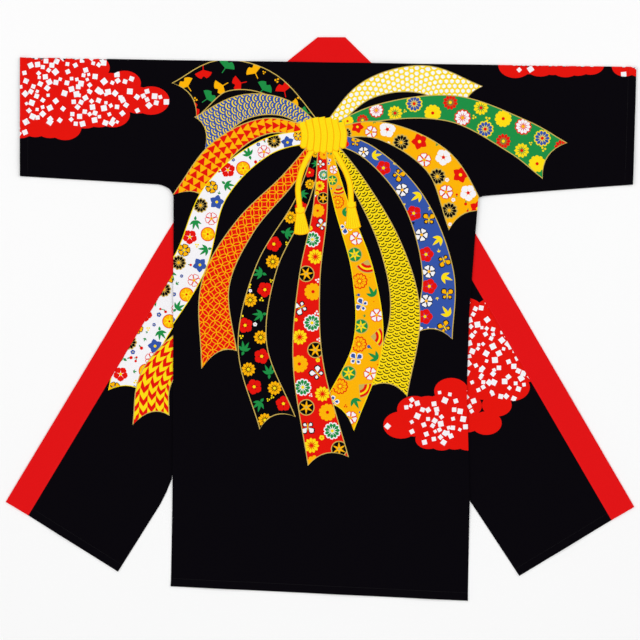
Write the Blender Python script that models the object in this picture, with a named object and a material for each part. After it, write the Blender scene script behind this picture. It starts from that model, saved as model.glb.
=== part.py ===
"""A long hanten laid out flat, back upwards, with each front turned out to its own side.

Metres, +Z up. The underside lies on Z = 0, +Y runs from the hem to the collar, and the origin is
the middle of the area that the laid garment covers. Left and right are the wearer's own, which
are also left and right as seen from above.

Each front hangs from the shoulder under the back, is folded over along a line from the neck to the
top of the side slit, and comes out beside the back with its outside upwards. The stack on the floor
is collar or turned front, then the part of the front that stays under the back, then the back.
"""

import math
from collections import Counter, namedtuple

import bmesh
import bpy
from mathutils import Vector

# Cloth
CLOTH = 0.0012
HEM_CLOTH = 0.0020
COLLAR_CLOTH = 0.0024
GAP = 0.0003

# Sizes of the cut
COLLAR_WIDTH = 0.058
HEM_HEIGHT = 0.020
HEM_STEP = 0.0015
CUFF_LOFT = 0.0015

# The shoulder line and the hem line of the back, as laid: height at X = 0 and rise along X
SHOULDER_Y = 0.5620
SHOULDER_RISE = -0.0148
HEM_Y = -0.6012
HEM_RISE = -0.0487

# How far the cloth above a layer stays level past its edge, and how far it then takes to come down
LEVEL_PAST = 0.005
FALL = 0.080

Level = namedtuple("Level", "y left right")
Place = namedtuple("Place", "x y")
Station = namedtuple("Station", "share depth")
Sleeve = namedtuple("Sleeve", "side armhole cuff_top cuff_low underarm low_edge")
Front = namedtuple("Front", "side slit_top side_edge fold_end neck_end seam_share")

# Side edges of the body from the shoulder to the hem
BODY_EDGES = (
    Level(y=0.600, left=-0.3227, right=0.3442),
    Level(y=0.268, left=-0.3227, right=0.3442),
    Level(y=0.184, left=-0.3227, right=0.3376),
    Level(y=0.014, left=-0.3232, right=0.3244),
    Level(y=-0.155, left=-0.3238, right=0.3190),
    Level(y=-0.396, left=-0.3252, right=0.3255),
    Level(y=-0.650, left=-0.3300, right=0.3208),
)

# The outer edge of the collar: each leg from its hem to the neck, then the corners behind the neck
LEFT_LEG = (
    Place(-0.6902, -0.4002),
    Place(-0.5065, -0.0942),
    Place(-0.3227, 0.2119),
    Place(-0.1980, 0.3950),
    Place(-0.0719, 0.5656),
)
RIGHT_LEG = (
    Place(0.6858, -0.4112),
    Place(0.5144, -0.1161),
    Place(0.3430, 0.1790),
    Place(0.2285, 0.3700),
    Place(0.1120, 0.5590),
)
NECK_TOP = (Place(-0.0073, 0.6170), Place(0.0529, 0.6170))

# How far each sleeve's lower edge drops below a straight line on its last way to the armhole
LEFT_UNDERARM = (
    Station(share=0.00, depth=0.0242),
    Station(share=0.01, depth=0.0150),
    Station(share=0.03, depth=0.0078),
    Station(share=0.06, depth=0.0025),
    Station(share=0.10, depth=0.0),
    Station(share=1.00, depth=0.0),
)
RIGHT_UNDERARM = (
    Station(share=0.00, depth=0.0088),
    Station(share=0.01, depth=0.0060),
    Station(share=0.03, depth=0.0040),
    Station(share=0.06, depth=0.0034),
    Station(share=0.30, depth=0.0024),
    Station(share=0.70, depth=0.0006),
    Station(share=1.00, depth=0.0),
)

SLEEVES = (
    Sleeve(
        side="left",
        armhole=-0.3227,
        cuff_top=Place(-0.6587, 0.5730),
        cuff_low=Place(-0.6587, 0.3126),
        underarm=Place(-0.3227, 0.2925),
        low_edge=LEFT_UNDERARM,
    ),
    Sleeve(
        side="right",
        armhole=0.3442,
        cuff_top=Place(0.6902, 0.5520),
        cuff_low=Place(0.6825, 0.2940),
        underarm=Place(0.3442, 0.2720),
        low_edge=RIGHT_UNDERARM,
    ),
)

FRONTS = (
    Front(
        side="left",
        slit_top=Place(-0.3237, -0.3411),
        side_edge=(
            Place(-0.4445, -0.5531),
            Place(-0.3522, -0.4062),
            Place(-0.3377, -0.3776),
        ),
        fold_end=Place(-0.0533, 0.4735),
        neck_end=Place(-0.0705, 0.5600),
        seam_share=0.93,
    ),
    Front(
        side="right",
        slit_top=Place(0.3102, -0.3739),
        side_edge=(Place(0.4342, -0.5623), Place(0.3722, -0.4681)),
        fold_end=Place(0.0890, 0.4648),
        neck_end=Place(0.1100, 0.5580),
        seam_share=0.93,
    ),
)

# The power that rounds the height of the cloth where it runs from one layer onto another
ROUNDING = 4

# The share of its fold, from the slit's top, over which the hidden part of a front widens
SLIT_EASE = 0.125

# How finely each piece is divided
CURVE_STEPS = 20
SIDE_COLUMN = 0.030
SIDE_COLUMNS = 10
MIDDLE_COLUMNS = 8
COLLAR_STEPS = 24
BACK_STEPS = 48
LOWER_STEPS = 10
FOLD_STEPS = 36
NECK_STEPS = 4
FRONT_COLUMNS = 6
SLEEVE_STEPS = 16
SLEEVE_COLUMNS = 10
BEND_STEPS = 6


def between(a, b, share):
    """The point or number that share of the way from a to b."""
    return a + (b - a) * share


def flat(place):
    """A place on the floor as a vector."""
    return Vector((place[0], place[1]))


def raised(point, height):
    """The point of the plan at that height."""
    return Vector((point[0], point[1], height))


def shoulder_y(x):
    return SHOULDER_Y + SHOULDER_RISE * x


def hem_y(x):
    return HEM_Y + HEM_RISE * x


def table_value(rows, key, at, column):
    """The value of a column at a place along the table's key column, straight between two rows."""
    rows = sorted(rows, key=lambda row: getattr(row, key))
    for low, high in zip(rows, rows[1:]):
        if at <= getattr(high, key) or high is rows[-1]:
            share = (at - getattr(low, key)) / (getattr(high, key) - getattr(low, key))
            return between(getattr(low, column), getattr(high, column), min(max(share, 0), 1))
    return getattr(rows[0], column)


def smooth_path(places, steps):
    """Points evenly spread on a smooth curve through the places."""
    points = [flat(p) for p in places]
    ends = [points[0] * 2 - points[1]] + points + [points[-1] * 2 - points[-2]]
    fine = []
    for a, b, c, d in zip(ends, ends[1:], ends[2:], ends[3:]):
        for i in range(CURVE_STEPS):
            t = i / CURVE_STEPS
            fine.append(
                0.5
                * (
                    2 * b
                    + (c - a) * t
                    + (2 * a - 5 * b + 4 * c - d) * t * t
                    + (3 * b - a - 3 * c + d) * t * t * t
                )
            )
    fine.append(points[-1])
    return spread(fine, [i / steps for i in range(steps + 1)])


def spread(points, shares):
    """Points at the given shares of a line's length."""
    runs = [0.0]
    for a, b in zip(points, points[1:]):
        runs.append(runs[-1] + (b - a).length)
    found = []
    for share in shares:
        at = share * runs[-1]
        i = max(k for k in range(len(runs) - 1) if runs[k] <= at + 1e-12)
        found.append(between(points[i], points[i + 1], (at - runs[i]) / (runs[i + 1] - runs[i])))
    return found


def inward_offsets(points, toward, width):
    """The points moved square to the line by a width, to the side where toward lies, with mitred corners."""
    moved = []
    for i, point in enumerate(points):
        before = (point - points[i - 1]).normalized() if i else None
        after = (points[i + 1] - point).normalized() if i + 1 < len(points) else None
        before = before or after
        after = after or before
        square_before = Vector((-before.y, before.x))
        square_after = Vector((-after.y, after.x))
        if square_before.dot(toward - point) < 0:
            square_before, square_after = -square_before, -square_after
        middle = (square_before + square_after).normalized()
        moved.append(point + middle * width / middle.dot(square_before))
    return moved


def distance_to_area(point, corners):
    """How far a point of the plan lies outside a polygon; 0 inside it."""
    inside, least = False, math.inf
    for a, b in zip(corners, corners[1:] + corners[:1]):
        if (a.y > point.y) != (b.y > point.y):
            inside ^= point.x < a.x + (point.y - a.y) * (b.x - a.x) / (b.y - a.y)
        run = b - a
        share = min(max((point - a).dot(run) / run.length_squared, 0), 1)
        least = min(least, (point - a - run * share).length)
    return 0.0 if inside else least


def settle(distance):
    """1 over a layer and a little past its edge, then an even curve down to 0."""
    t = min(max((distance - LEVEL_PAST) / FALL, 0), 1)
    return 1 - t * t * (3 - 2 * t)


class Layout:
    """Where every hidden and shown layer lies, and how high the cloth above it runs."""

    def __init__(self):
        middle = Vector((0, 0))
        left = smooth_path(LEFT_LEG, COLLAR_STEPS)
        right = smooth_path(RIGHT_LEG, COLLAR_STEPS)
        self.collar_outer = left + [flat(p) for p in NECK_TOP] + right[::-1]
        self.collar_inner = inward_offsets(self.collar_outer, middle, COLLAR_WIDTH)
        self.collar_area = self.collar_outer + self.collar_inner[::-1]
        seam = inward_offsets(self.collar_outer, middle, COLLAR_WIDTH + GAP)
        self.seams = {
            "left": seam[: COLLAR_STEPS + 1],
            "right": seam[-1 : -COLLAR_STEPS - 2 : -1],
        }
        self.turned_areas = []
        self.under_areas = []
        for front in FRONTS:
            slit, fold, neck = flat(front.slit_top), flat(front.fold_end), flat(front.neck_end)
            seam_run = spread(self.seams[front.side], [0, front.seam_share])
            edge = [flat(p) for p in front.side_edge]
            self.turned_areas.append(seam_run + [fold, slit] + edge[::-1])
            shoulder = Vector((self.body_edge(front.side, neck.y), neck.y))
            self.under_areas.append([slit, fold, neck, shoulder])

    @staticmethod
    def body_edge(side, y):
        return table_value(BODY_EDGES, "y", y, side)

    def under_height(self, point):
        """The underside of a front that lies on the collar and on its own turned part."""
        point = flat(point)
        over_collar = (COLLAR_CLOTH + GAP) * settle(distance_to_area(point, self.collar_area))
        away = min(distance_to_area(point, area) for area in self.turned_areas)
        over_front = (CLOTH + GAP) * settle(away)
        return (over_collar**ROUNDING + over_front**ROUNDING) ** (1 / ROUNDING)

    def back_height(self, point):
        """The underside of the back, which also lies on what stays under it of the fronts."""
        point = flat(point)
        away = min(distance_to_area(point, area) for area in self.under_areas)
        return self.under_height(point) + (CLOTH + GAP) * settle(away)


def cloth_material(name, colour, roughness):
    """A woven cloth of one colour."""
    material = bpy.data.materials.new(name)
    material.use_nodes = True
    shader = material.node_tree.nodes["Principled BSDF"]
    shader.inputs["Base Color"].default_value = (*colour, 1)
    shader.inputs["Roughness"].default_value = roughness
    shader.inputs["Metallic"].default_value = 0
    return material


def finish_mesh(name, mesh, material):
    """Makes the object of a finished bmesh, with its faces turned outwards."""
    bmesh.ops.recalc_face_normals(mesh, faces=mesh.faces)
    data = bpy.data.meshes.new(name)
    mesh.to_mesh(data)
    mesh.free()
    data.shade_smooth()
    data.set_sharp_from_angle(angle=math.radians(40))
    data.materials.append(material)
    made = bpy.data.objects.new(name, data)
    bpy.context.collection.objects.link(made)
    return made


def wall(name, rows, material, around=False):
    """A closed wall from rows of (outside, inside) point pairs, where None leaves a place empty."""
    mesh = bmesh.new()
    net = [[pair and tuple(mesh.verts.new(p) for p in pair) for pair in row] for row in rows]
    cells = []
    for lower, upper in zip(net, net[1:]):
        for i in range(len(lower) - (not around)):
            j = (i + 1) % len(lower)
            corners = (lower[i], lower[j], upper[j], upper[i])
            if all(corners):
                cells.append(corners)
    edges = Counter(
        (a, b) for cell in cells for a, b in zip(cell, cell[1:] + cell[:1])
    )
    for cell in cells:
        mesh.faces.new([pair[0] for pair in cell])
        mesh.faces.new([pair[1] for pair in reversed(cell)])
    for a, b in edges:
        if (b, a) not in edges:
            mesh.faces.new([b[0], a[0], a[1], b[1]])
    return finish_mesh(name, mesh, material)


def hem_shares(length, steps):
    """Shares from a hemmed end to the other, with the hem's step in its place."""
    turned = HEM_HEIGHT / length
    step = HEM_STEP / length
    return [0, turned - step, turned] + [
        between(turned, 1, i / steps) for i in range(1, steps + 1)
    ]


def cloth_at(distance_from_hem):
    """How thick the cloth is that far from a hem: doubled up to the hem's height."""
    return HEM_CLOTH if distance_from_hem < HEM_HEIGHT - HEM_STEP / 2 else CLOTH


def back_columns():
    """Shares across the back, closer together over the layers at each side."""
    sides = [SIDE_COLUMN * i for i in range(SIDE_COLUMNS + 1)]
    middle = [
        between(sides[-1], 1 - sides[-1], i / MIDDLE_COLUMNS) for i in range(1, MIDDLE_COLUMNS)
    ]
    return sides + middle + [1 - share for share in reversed(sides)]


def make_back(layout, material):
    """The back body, from its hem to the shoulder, lying over everything at its sides."""
    length = SHOULDER_Y - HEM_Y
    seam_back = seam_drop() + GAP
    rows = []
    for share in hem_shares(length, BACK_STEPS):
        row = []
        ends = []
        for side in ("left", "right"):
            guess = layout.body_edge(side, between(HEM_Y, SHOULDER_Y, share))
            y = between(hem_y(guess), shoulder_y(guess) - seam_back, share)
            ends.append(Vector((layout.body_edge(side, y), y)))
        for across in back_columns():
            point = between(ends[0], ends[1], across)
            low = layout.back_height(point)
            high = low + cloth_at(share * length)
            row.append((raised(point, high), raised(point, low)))
        rows.append(row)
    return wall("back", rows, material)


def bend_pairs(centre, away, height, radius, cloth, print_inside):
    """Point pairs round a fold: from below its centre, out along away, and up to above it."""
    pairs = []
    near, far = radius - cloth / 2, radius + cloth / 2
    outside, inside = (near, far) if print_inside else (far, near)
    for i in range(1, BEND_STEPS):
        angle = math.pi * i / BEND_STEPS
        pairs.append(
            tuple(
                raised(centre + away * reach * math.sin(angle), height - reach * math.cos(angle))
                for reach in (outside, inside)
            )
        )
    return pairs


def make_front(layout, front, material):
    """One front: the turned part beside the back, the fold, and the part that stays under the back."""
    slit, fold_end, neck = flat(front.slit_top), flat(front.fold_end), flat(front.neck_end)
    edge = [flat(p) for p in front.side_edge]
    side_length = sum((b - a).length for a, b in zip(edge, edge[1:] + [slit]))
    lower = hem_shares(side_length, LOWER_STEPS)
    seam_length = (fold_end - slit).length + side_length
    seam_turn = side_length / seam_length * front.seam_share
    seam = layout.seams[front.side]
    fold_line = (fold_end - slit).normalized()
    away = Vector((fold_line.y, -fold_line.x)) * (1 if front.side == "left" else -1)
    columns = [i / FRONT_COLUMNS for i in range(FRONT_COLUMNS + 1)]
    hidden = BEND_STEPS - 1 + len(columns)
    rows = []

    def turned_row(start, end, cloth):
        return [
            (raised(between(start, end, c), cloth), raised(between(start, end, c), 0))
            for c in columns
        ]

    def under_row(start, end):
        row = []
        for c in columns:
            point = between(start, end, c)
            low = layout.under_height(point)
            row.append((raised(point, low), raised(point, low + CLOTH)))
        return row

    for share, place in zip(lower, spread(edge + [slit], lower)):
        start = spread(seam, [share * seam_turn])[0]
        row = turned_row(start, place, cloth_at(share * side_length))
        rows.append(row + [None] * hidden)

    for i in range(1, FOLD_STEPS + 1):
        share = i / FOLD_STEPS
        start = spread(seam, [between(seam_turn, front.seam_share, share)])[0]
        on_fold = between(slit, fold_end, share)
        radius = layout.under_height(on_fold) / 2
        centre = on_fold - away * (radius + CLOTH / 2)
        row = turned_row(start, centre, CLOTH)
        if i == 1:
            rows.append(row + [None] * hidden)
            continue
        row += bend_pairs(centre, away, CLOTH / 2 + radius, radius, CLOTH, True)
        side = layout.body_edge(front.side, on_fold.y)
        outer = Vector((between(slit.x, side, min(1, share / SLIT_EASE)), on_fold.y))
        rows.append(row + under_row(centre, outer))

    missing = [None] * (len(columns) + BEND_STEPS - 1)
    for i in range(1, NECK_STEPS + 1):
        start = between(centre, neck, i / NECK_STEPS)
        y = between(on_fold.y, shoulder_y(outer.x), i / NECK_STEPS)
        y -= seam_drop() * i / NECK_STEPS
        outer = Vector((layout.body_edge(front.side, y), y))
        start.y = between(start.y, shoulder_y(start.x) - seam_drop(), (i / NECK_STEPS) ** 2)
        rows.append(missing + under_row(start, outer))

    last = rows[-1][len(missing) :]
    radius = (CLOTH + GAP) / 2
    bends = [
        bend_pairs(flat(pair[0]), Vector((0, 1)), pair[0].z + CLOTH / 2 + radius, radius, CLOTH, False)
        for pair in last
    ]
    for step in zip(*bends):
        rows.append(missing + list(step))
    top = CLOTH + GAP
    rows.append(
        missing + [(p[1] + Vector((0, 0, top)), p[0] + Vector((0, 0, top))) for p in last]
    )
    return wall(f"front_{front.side}", rows, material)


def seam_drop():
    """How far below the shoulder line the bend over the shoulder starts."""
    return CLOTH / 2 + (CLOTH + GAP) / 2


def make_sleeve(layout, sleeve, material):
    """One sleeve: a tube pressed flat, folded at the top, seamed below and open at both ends."""
    way_out = 1 if sleeve.side == "right" else -1
    armhole_x = sleeve.armhole + way_out * GAP
    top_start = Vector((armhole_x, shoulder_y(armhole_x)))
    low_start = Vector((armhole_x, sleeve.underarm.y))
    length = abs(sleeve.cuff_low.x - sleeve.armhole)
    shares = [1 - share for share in reversed(hem_shares(length, SLEEVE_STEPS))]
    shares = sorted(set(shares) | {row.share for row in sleeve.low_edge})
    columns = [i / SLEEVE_COLUMNS for i in range(SLEEVE_COLUMNS + 1)]
    rings = []
    for share in shares:
        top = between(top_start, flat(sleeve.cuff_top), share)
        low = between(low_start, flat(sleeve.cuff_low), share)
        low.y -= table_value(sleeve.low_edge, "share", share, "depth")
        up = (top - low).normalized()
        cloth = cloth_at((1 - share) * length)
        radius = (cloth + GAP) / 2
        ends = (low + up * (radius + cloth / 2), top - up * (radius + cloth / 2))
        lower, upper = [], []
        for c in columns:
            point = between(ends[0], ends[1], c)
            floor = layout.under_height(point)
            loft = CUFF_LOFT * share**2 * math.sin(math.pi * c)
            lining = floor + cloth + GAP + loft
            lower.append((raised(point, floor), raised(point, floor + cloth)))
            upper.append((raised(point, lining + cloth), raised(point, lining)))
        heights = [pair[0].z + cloth / 2 + radius for pair in (lower[0], lower[-1])]
        top_bend = bend_pairs(ends[1], up, heights[1], radius, cloth, False)
        low_bend = bend_pairs(ends[0], -up, heights[0], radius, cloth, False)
        rings.append(lower + top_bend + upper[::-1] + low_bend[::-1])
    return wall(f"sleeve_{sleeve.side}", rings, material, around=True)


def make_collar(layout, material):
    """The collar: a doubled band, rounded at its folded outer edge, down both fronts and round the neck."""
    round_edge = COLLAR_CLOTH / 2
    section = []
    for i in range(BEND_STEPS + 1):
        angle = math.pi * i / BEND_STEPS
        section.append(
            (round_edge * (1 - math.sin(angle)), round_edge * (1 - math.cos(angle)))
        )
    section += [(COLLAR_WIDTH, COLLAR_CLOTH), (COLLAR_WIDTH, 0)]
    mesh = bmesh.new()
    rings = []
    for outer, inner in zip(layout.collar_outer, layout.collar_inner):
        rings.append(
            [
                mesh.verts.new(raised(between(outer, inner, across / COLLAR_WIDTH), height))
                for across, height in section
            ]
        )
    for a, b in zip(rings, rings[1:]):
        for i in range(len(section)):
            j = (i + 1) % len(section)
            mesh.faces.new([a[i], a[j], b[j], b[i]])
    mesh.faces.new(rings[0][::-1])
    mesh.faces.new(rings[-1])
    return finish_mesh("collar", mesh, material)


def main():
    for old in list(bpy.data.objects):
        bpy.data.objects.remove(old, do_unlink=True)
    body_cloth = cloth_material("black_printed_cotton", (0.006, 0.005, 0.007), 0.85)
    collar_cloth = cloth_material("red_cotton", (0.730, 0.010, 0.008), 0.80)
    layout = Layout()
    make_back(layout, body_cloth)
    for front in FRONTS:
        make_front(layout, front, body_cloth)
    for sleeve in SLEEVES:
        make_sleeve(layout, sleeve, body_cloth)
    make_collar(layout, collar_cloth)


main()
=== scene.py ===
"""The looks of a long hanten laid out flat, back upwards: printed cloth, collar, stitching, studio.

Metres, +Z up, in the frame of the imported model. The piece of each class lies where its solid lies.
The print is a map of plain shapes on each panel's own cut, and the shader draws the small repeats.
"""

import logging
import math
import random
from collections.abc import Callable, Sequence
from dataclasses import dataclass, field
from enum import Enum

import bpy
import numpy as np
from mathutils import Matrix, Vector
from mathutils.geometry import delaunay_2d_cdt


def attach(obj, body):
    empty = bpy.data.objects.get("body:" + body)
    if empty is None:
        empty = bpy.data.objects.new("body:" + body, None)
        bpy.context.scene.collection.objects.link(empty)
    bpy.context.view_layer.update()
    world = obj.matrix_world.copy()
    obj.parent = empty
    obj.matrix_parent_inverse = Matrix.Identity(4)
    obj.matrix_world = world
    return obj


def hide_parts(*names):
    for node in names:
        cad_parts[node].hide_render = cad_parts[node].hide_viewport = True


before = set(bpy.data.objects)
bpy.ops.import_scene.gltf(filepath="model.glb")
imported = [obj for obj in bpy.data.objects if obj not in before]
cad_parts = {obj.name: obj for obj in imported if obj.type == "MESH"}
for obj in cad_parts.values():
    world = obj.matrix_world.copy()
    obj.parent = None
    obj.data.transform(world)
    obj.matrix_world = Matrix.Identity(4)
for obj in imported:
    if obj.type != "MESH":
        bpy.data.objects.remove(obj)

log = logging.getLogger("hanten")

Points = np.ndarray

CLOTH = 0.0012
HEM_CLOTH = 0.0020
COLLAR_CLOTH = 0.0024
GAP = 0.0003
SEAM = 0.00005
HEM_HEIGHT = 0.020
BEND = (CLOTH + GAP) / 2
QUARTER = math.pi / 2
TAU = 2 * math.pi


class Ink(Enum):
    """The dyes of the garment, as sRGB colours."""

    BLACK = "#060409"
    RED = "#E6140B"
    YELLOW = "#FFDF14"
    AMBER = "#FFB606"
    GREEN = "#1F8F45"
    BLUE = "#3655A8"
    WHITE = "#F7F5F8"
    GOLD = "#CDB05A"
    CRIMSON = "#E31315"


class Repeat(Enum):
    """The small traditional repeats that the shader draws inside a streamer."""

    PLAIN = 0
    WAVES = 1
    HEXAGONS = 2
    RINGS = 3
    SCALES = 4
    ARROWS = 5


def linear(ink: Ink) -> tuple[float, float, float, float]:
    """Turns a dye's sRGB colour into the linear one that shaders read.

    Args:
        ink: The dye.

    Returns:
        Red, green, blue and alpha.
    """
    parts = (int(ink.value[i : i + 2], 16) / 255 for i in (1, 3, 5))
    red, green, blue = (c / 12.92 if c <= 0.04045 else ((c + 0.055) / 1.055) ** 2.4 for c in parts)
    return red, green, blue, 1.0


def smoothstep(t: Points | float) -> Points:
    """An even curve from 0 to 1.

    Args:
        t: Where on the curve, clipped to 0 to 1.

    Returns:
        The height of the curve.
    """
    t = np.clip(t, 0, 1)
    return t * t * (3 - 2 * t)


def spread(line: Points, shares: Points) -> Points:
    """Points at the given shares of a line's length.

    Args:
        line: The line's points.
        shares: How far along each wanted point lies, 0 to 1.

    Returns:
        The points.
    """
    runs = np.concatenate(([0], np.cumsum(np.linalg.norm(np.diff(line, axis=0), axis=1))))
    at = np.asarray(shares) * runs[-1]
    return np.stack([np.interp(at, runs, line[:, 0]), np.interp(at, runs, line[:, 1])], axis=1)


def smooth_path(places: Sequence[tuple[float, float]], steps: int) -> Points:
    """Evenly spread points on a smooth curve through some places.

    Args:
        places: The places that the curve goes through.
        steps: How many steps the curve is divided into.

    Returns:
        The points of the curve, one more than the steps.
    """
    p = np.asarray(places, dtype=float)
    p = np.vstack([2 * p[0] - p[1], p, 2 * p[-1] - p[-2]])
    t = (np.arange(20) / 20)[:, None]
    fine = [
        0.5
        * (2 * b + (c - a) * t + (2 * a - 5 * b + 4 * c - d) * t**2 + (3 * b - a - 3 * c + d) * t**3)
        for a, b, c, d in zip(p, p[1:], p[2:], p[3:])
    ]
    return spread(np.vstack([*fine, p[-2:-1]]), np.linspace(0, 1, steps + 1))


def line_normals(line: Points) -> Points:
    """Unit vectors square to a line, on its left.

    Args:
        line: The line's points.

    Returns:
        One vector for each point.
    """
    run = np.gradient(line, axis=0)
    run /= np.linalg.norm(run, axis=1)[:, None]
    return np.stack([-run[:, 1], run[:, 0]], axis=1)


def inward_offsets(line: Points, toward: Points, width: float) -> Points:
    """A line moved square to itself by a width, towards a point, with mitred corners.

    Args:
        line: The line's points.
        toward: The point that shows which side to move to.
        width: How far to move.

    Returns:
        The moved points.
    """
    runs = np.diff(line, axis=0)
    runs /= np.linalg.norm(runs, axis=1)[:, None]
    before, after = np.vstack([runs[:1], runs]), np.vstack([runs, runs[-1:]])
    squares = [np.stack([-r[:, 1], r[:, 0]], axis=1) for r in (before, after)]
    sign = np.where(np.sum(squares[0] * (toward - line), axis=1) < 0, -1, 1)[:, None]
    middle = squares[0] + squares[1]
    middle /= np.linalg.norm(middle, axis=1)[:, None]
    return line + sign * middle * width / np.sum(middle * squares[0], axis=1)[:, None]


def inside(points: Points, corners: Points) -> Points:
    """Which points lie inside a polygon.

    Args:
        points: The points to test.
        corners: The polygon's corners.

    Returns:
        True or false for each point.
    """
    a, b = corners, np.roll(corners, -1, axis=0)
    x, y = points[:, 0][:, None], points[:, 1][:, None]
    crosses = (a[:, 1] > y) != (b[:, 1] > y)
    rise = np.where(np.abs(b[:, 1] - a[:, 1]) < 1e-12, 1e-12, b[:, 1] - a[:, 1])
    left = x < a[:, 0] + (y - a[:, 1]) * (b[:, 0] - a[:, 0]) / rise
    return np.sum(crosses & left, axis=1) % 2 == 1


def counterclockwise(corners: Points) -> Points:
    """A polygon with its corners in counterclockwise order.

    Args:
        corners: The polygon's corners, in either order.

    Returns:
        The corners.
    """
    x, y = corners.T
    area = np.sum(x * np.roll(y, -1) - y * np.roll(x, -1))
    return corners if area > 0 else corners[::-1]


def distance_to_line(points: Points, line: Points) -> Points:
    """How far points lie from a line.

    Args:
        points: The points.
        line: The line's points.

    Returns:
        One distance for each point.
    """
    a, run = line[:-1], np.diff(line, axis=0)
    least = np.full(len(points), np.inf)
    for start, step in zip(a, run):
        share = np.clip(((points - start) @ step) / max(step @ step, 1e-16), 0, 1)
        least = np.minimum(least, np.linalg.norm(points - start - share[:, None] * step, axis=1))
    return least


def distance_to_area(points: Points, corners: Points) -> Points:
    """How far points lie outside a polygon, 0 inside it.

    Args:
        points: The points.
        corners: The polygon's corners.

    Returns:
        One distance for each point.
    """
    away = distance_to_line(points, np.vstack([corners, corners[:1]]))
    return np.where(inside(points, corners), 0, away)


@dataclass(frozen=True)
class SleeveCut:
    """Where one sleeve lies: its armhole's X, three corners, and its underarm's droop.

    droop holds pairs of (share of the way to the cuff, depth below a straight lower edge).
    """

    side: str
    armhole: float
    cuff_top: tuple[float, float]
    cuff_low: tuple[float, float]
    underarm: float
    droop: tuple[tuple[float, float], ...]


@dataclass(frozen=True)
class FrontCut:
    """Where one front lies: its slit, lower side edge, fold and neck."""

    side: str
    slit_top: tuple[float, float]
    side_edge: tuple[tuple[float, float], ...]
    fold_end: tuple[float, float]
    neck_end: tuple[float, float]
    seam_share: float = 0.93


@dataclass(frozen=True)
class Crease:
    """A soft ridge of the laid cloth: its two ends, how high it stands and how wide it is."""

    start: tuple[float, float]
    end: tuple[float, float]
    height: float = 0.0014
    width: float = 0.036


@dataclass(frozen=True)
class GarmentCut:
    """The sizes and places of the laid garment that all pieces share, in metres."""

    shoulder: tuple[float, float] = (0.5620, -0.0148)
    hem: tuple[float, float] = (-0.6012, -0.0487)
    level_past: float = 0.005
    fall: float = 0.080
    collar_width: float = 0.058
    leg_steps: int = 24
    edge_y: tuple[float, ...] = (-0.650, -0.396, -0.155, 0.014, 0.184, 0.268, 0.600)
    edge_left: tuple[float, ...] = (-0.3300, -0.3252, -0.3238, -0.3232, -0.3227, -0.3227, -0.3227)
    edge_right: tuple[float, ...] = (0.3208, 0.3255, 0.3190, 0.3244, 0.3376, 0.3442, 0.3442)
    left_leg: tuple[tuple[float, float], ...] = (
        (-0.6902, -0.4002),
        (-0.5065, -0.0942),
        (-0.3227, 0.2119),
        (-0.1980, 0.3950),
        (-0.0719, 0.5656),
    )
    right_leg: tuple[tuple[float, float], ...] = (
        (0.6858, -0.4112),
        (0.5144, -0.1161),
        (0.3430, 0.1790),
        (0.2285, 0.3700),
        (0.1120, 0.5590),
    )
    neck_top: tuple[tuple[float, float], ...] = ((-0.0073, 0.6170), (0.0529, 0.6170))
    sleeves: tuple[SleeveCut, ...] = (
        SleeveCut(
            side="left",
            armhole=-0.3227,
            cuff_top=(-0.6587, 0.5730),
            cuff_low=(-0.6587, 0.3126),
            underarm=0.2925,
            droop=((0, 0.0242), (0.01, 0.0150), (0.03, 0.0078), (0.06, 0.0025), (0.10, 0), (1, 0)),
        ),
        SleeveCut(
            side="right",
            armhole=0.3442,
            cuff_top=(0.6902, 0.5520),
            cuff_low=(0.6825, 0.2940),
            underarm=0.2720,
            droop=(
                (0, 0.0088),
                (0.01, 0.0060),
                (0.03, 0.0040),
                (0.06, 0.0034),
                (0.30, 0.0024),
                (0.70, 0.0006),
                (1, 0),
            ),
        ),
    )
    fronts: tuple[FrontCut, ...] = (
        FrontCut(
            side="left",
            slit_top=(-0.3237, -0.3411),
            side_edge=((-0.4445, -0.5531), (-0.3522, -0.4062), (-0.3377, -0.3776)),
            fold_end=(-0.0533, 0.4735),
            neck_end=(-0.0705, 0.5600),
        ),
        FrontCut(
            side="right",
            slit_top=(0.3102, -0.3739),
            side_edge=((0.4342, -0.5623), (0.3722, -0.4681)),
            fold_end=(0.0890, 0.4648),
            neck_end=(0.1100, 0.5580),
        ),
    )
    creases: tuple[Crease, ...] = (
        Crease((-0.330, 0.285), (-0.520, 0.430)),
        Crease((-0.150, 0.545), (-0.600, 0.512), height=0.0010),
        Crease((-0.430, 0.330), (-0.655, 0.350), height=0.0012),
        Crease((0.345, 0.265), (0.500, 0.420)),
        Crease((0.200, 0.535), (0.640, 0.470), height=0.0011),
        Crease((0.480, 0.300), (0.690, 0.330), height=0.0013),
        Crease((-0.310, 0.250), (-0.110, 0.060), height=0.0016),
        Crease((0.330, 0.240), (0.140, 0.090), height=0.0015),
        Crease((-0.200, -0.020), (-0.225, -0.610), height=0.0015, width=0.045),
        Crease((0.020, -0.120), (0.045, -0.600), height=0.0013, width=0.050),
        Crease((0.215, -0.060), (0.240, -0.610), height=0.0016, width=0.042),
        Crease((-0.080, 0.330), (0.110, 0.160), height=0.0010),
        Crease((-0.390, -0.080), (-0.570, -0.470), height=0.0014, width=0.040),
        Crease((-0.480, -0.090), (-0.655, -0.360), height=0.0009),
        Crease((0.380, -0.100), (0.540, -0.500), height=0.0015, width=0.040),
        Crease((0.520, -0.160), (0.640, -0.400), height=0.0010),
    )


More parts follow.
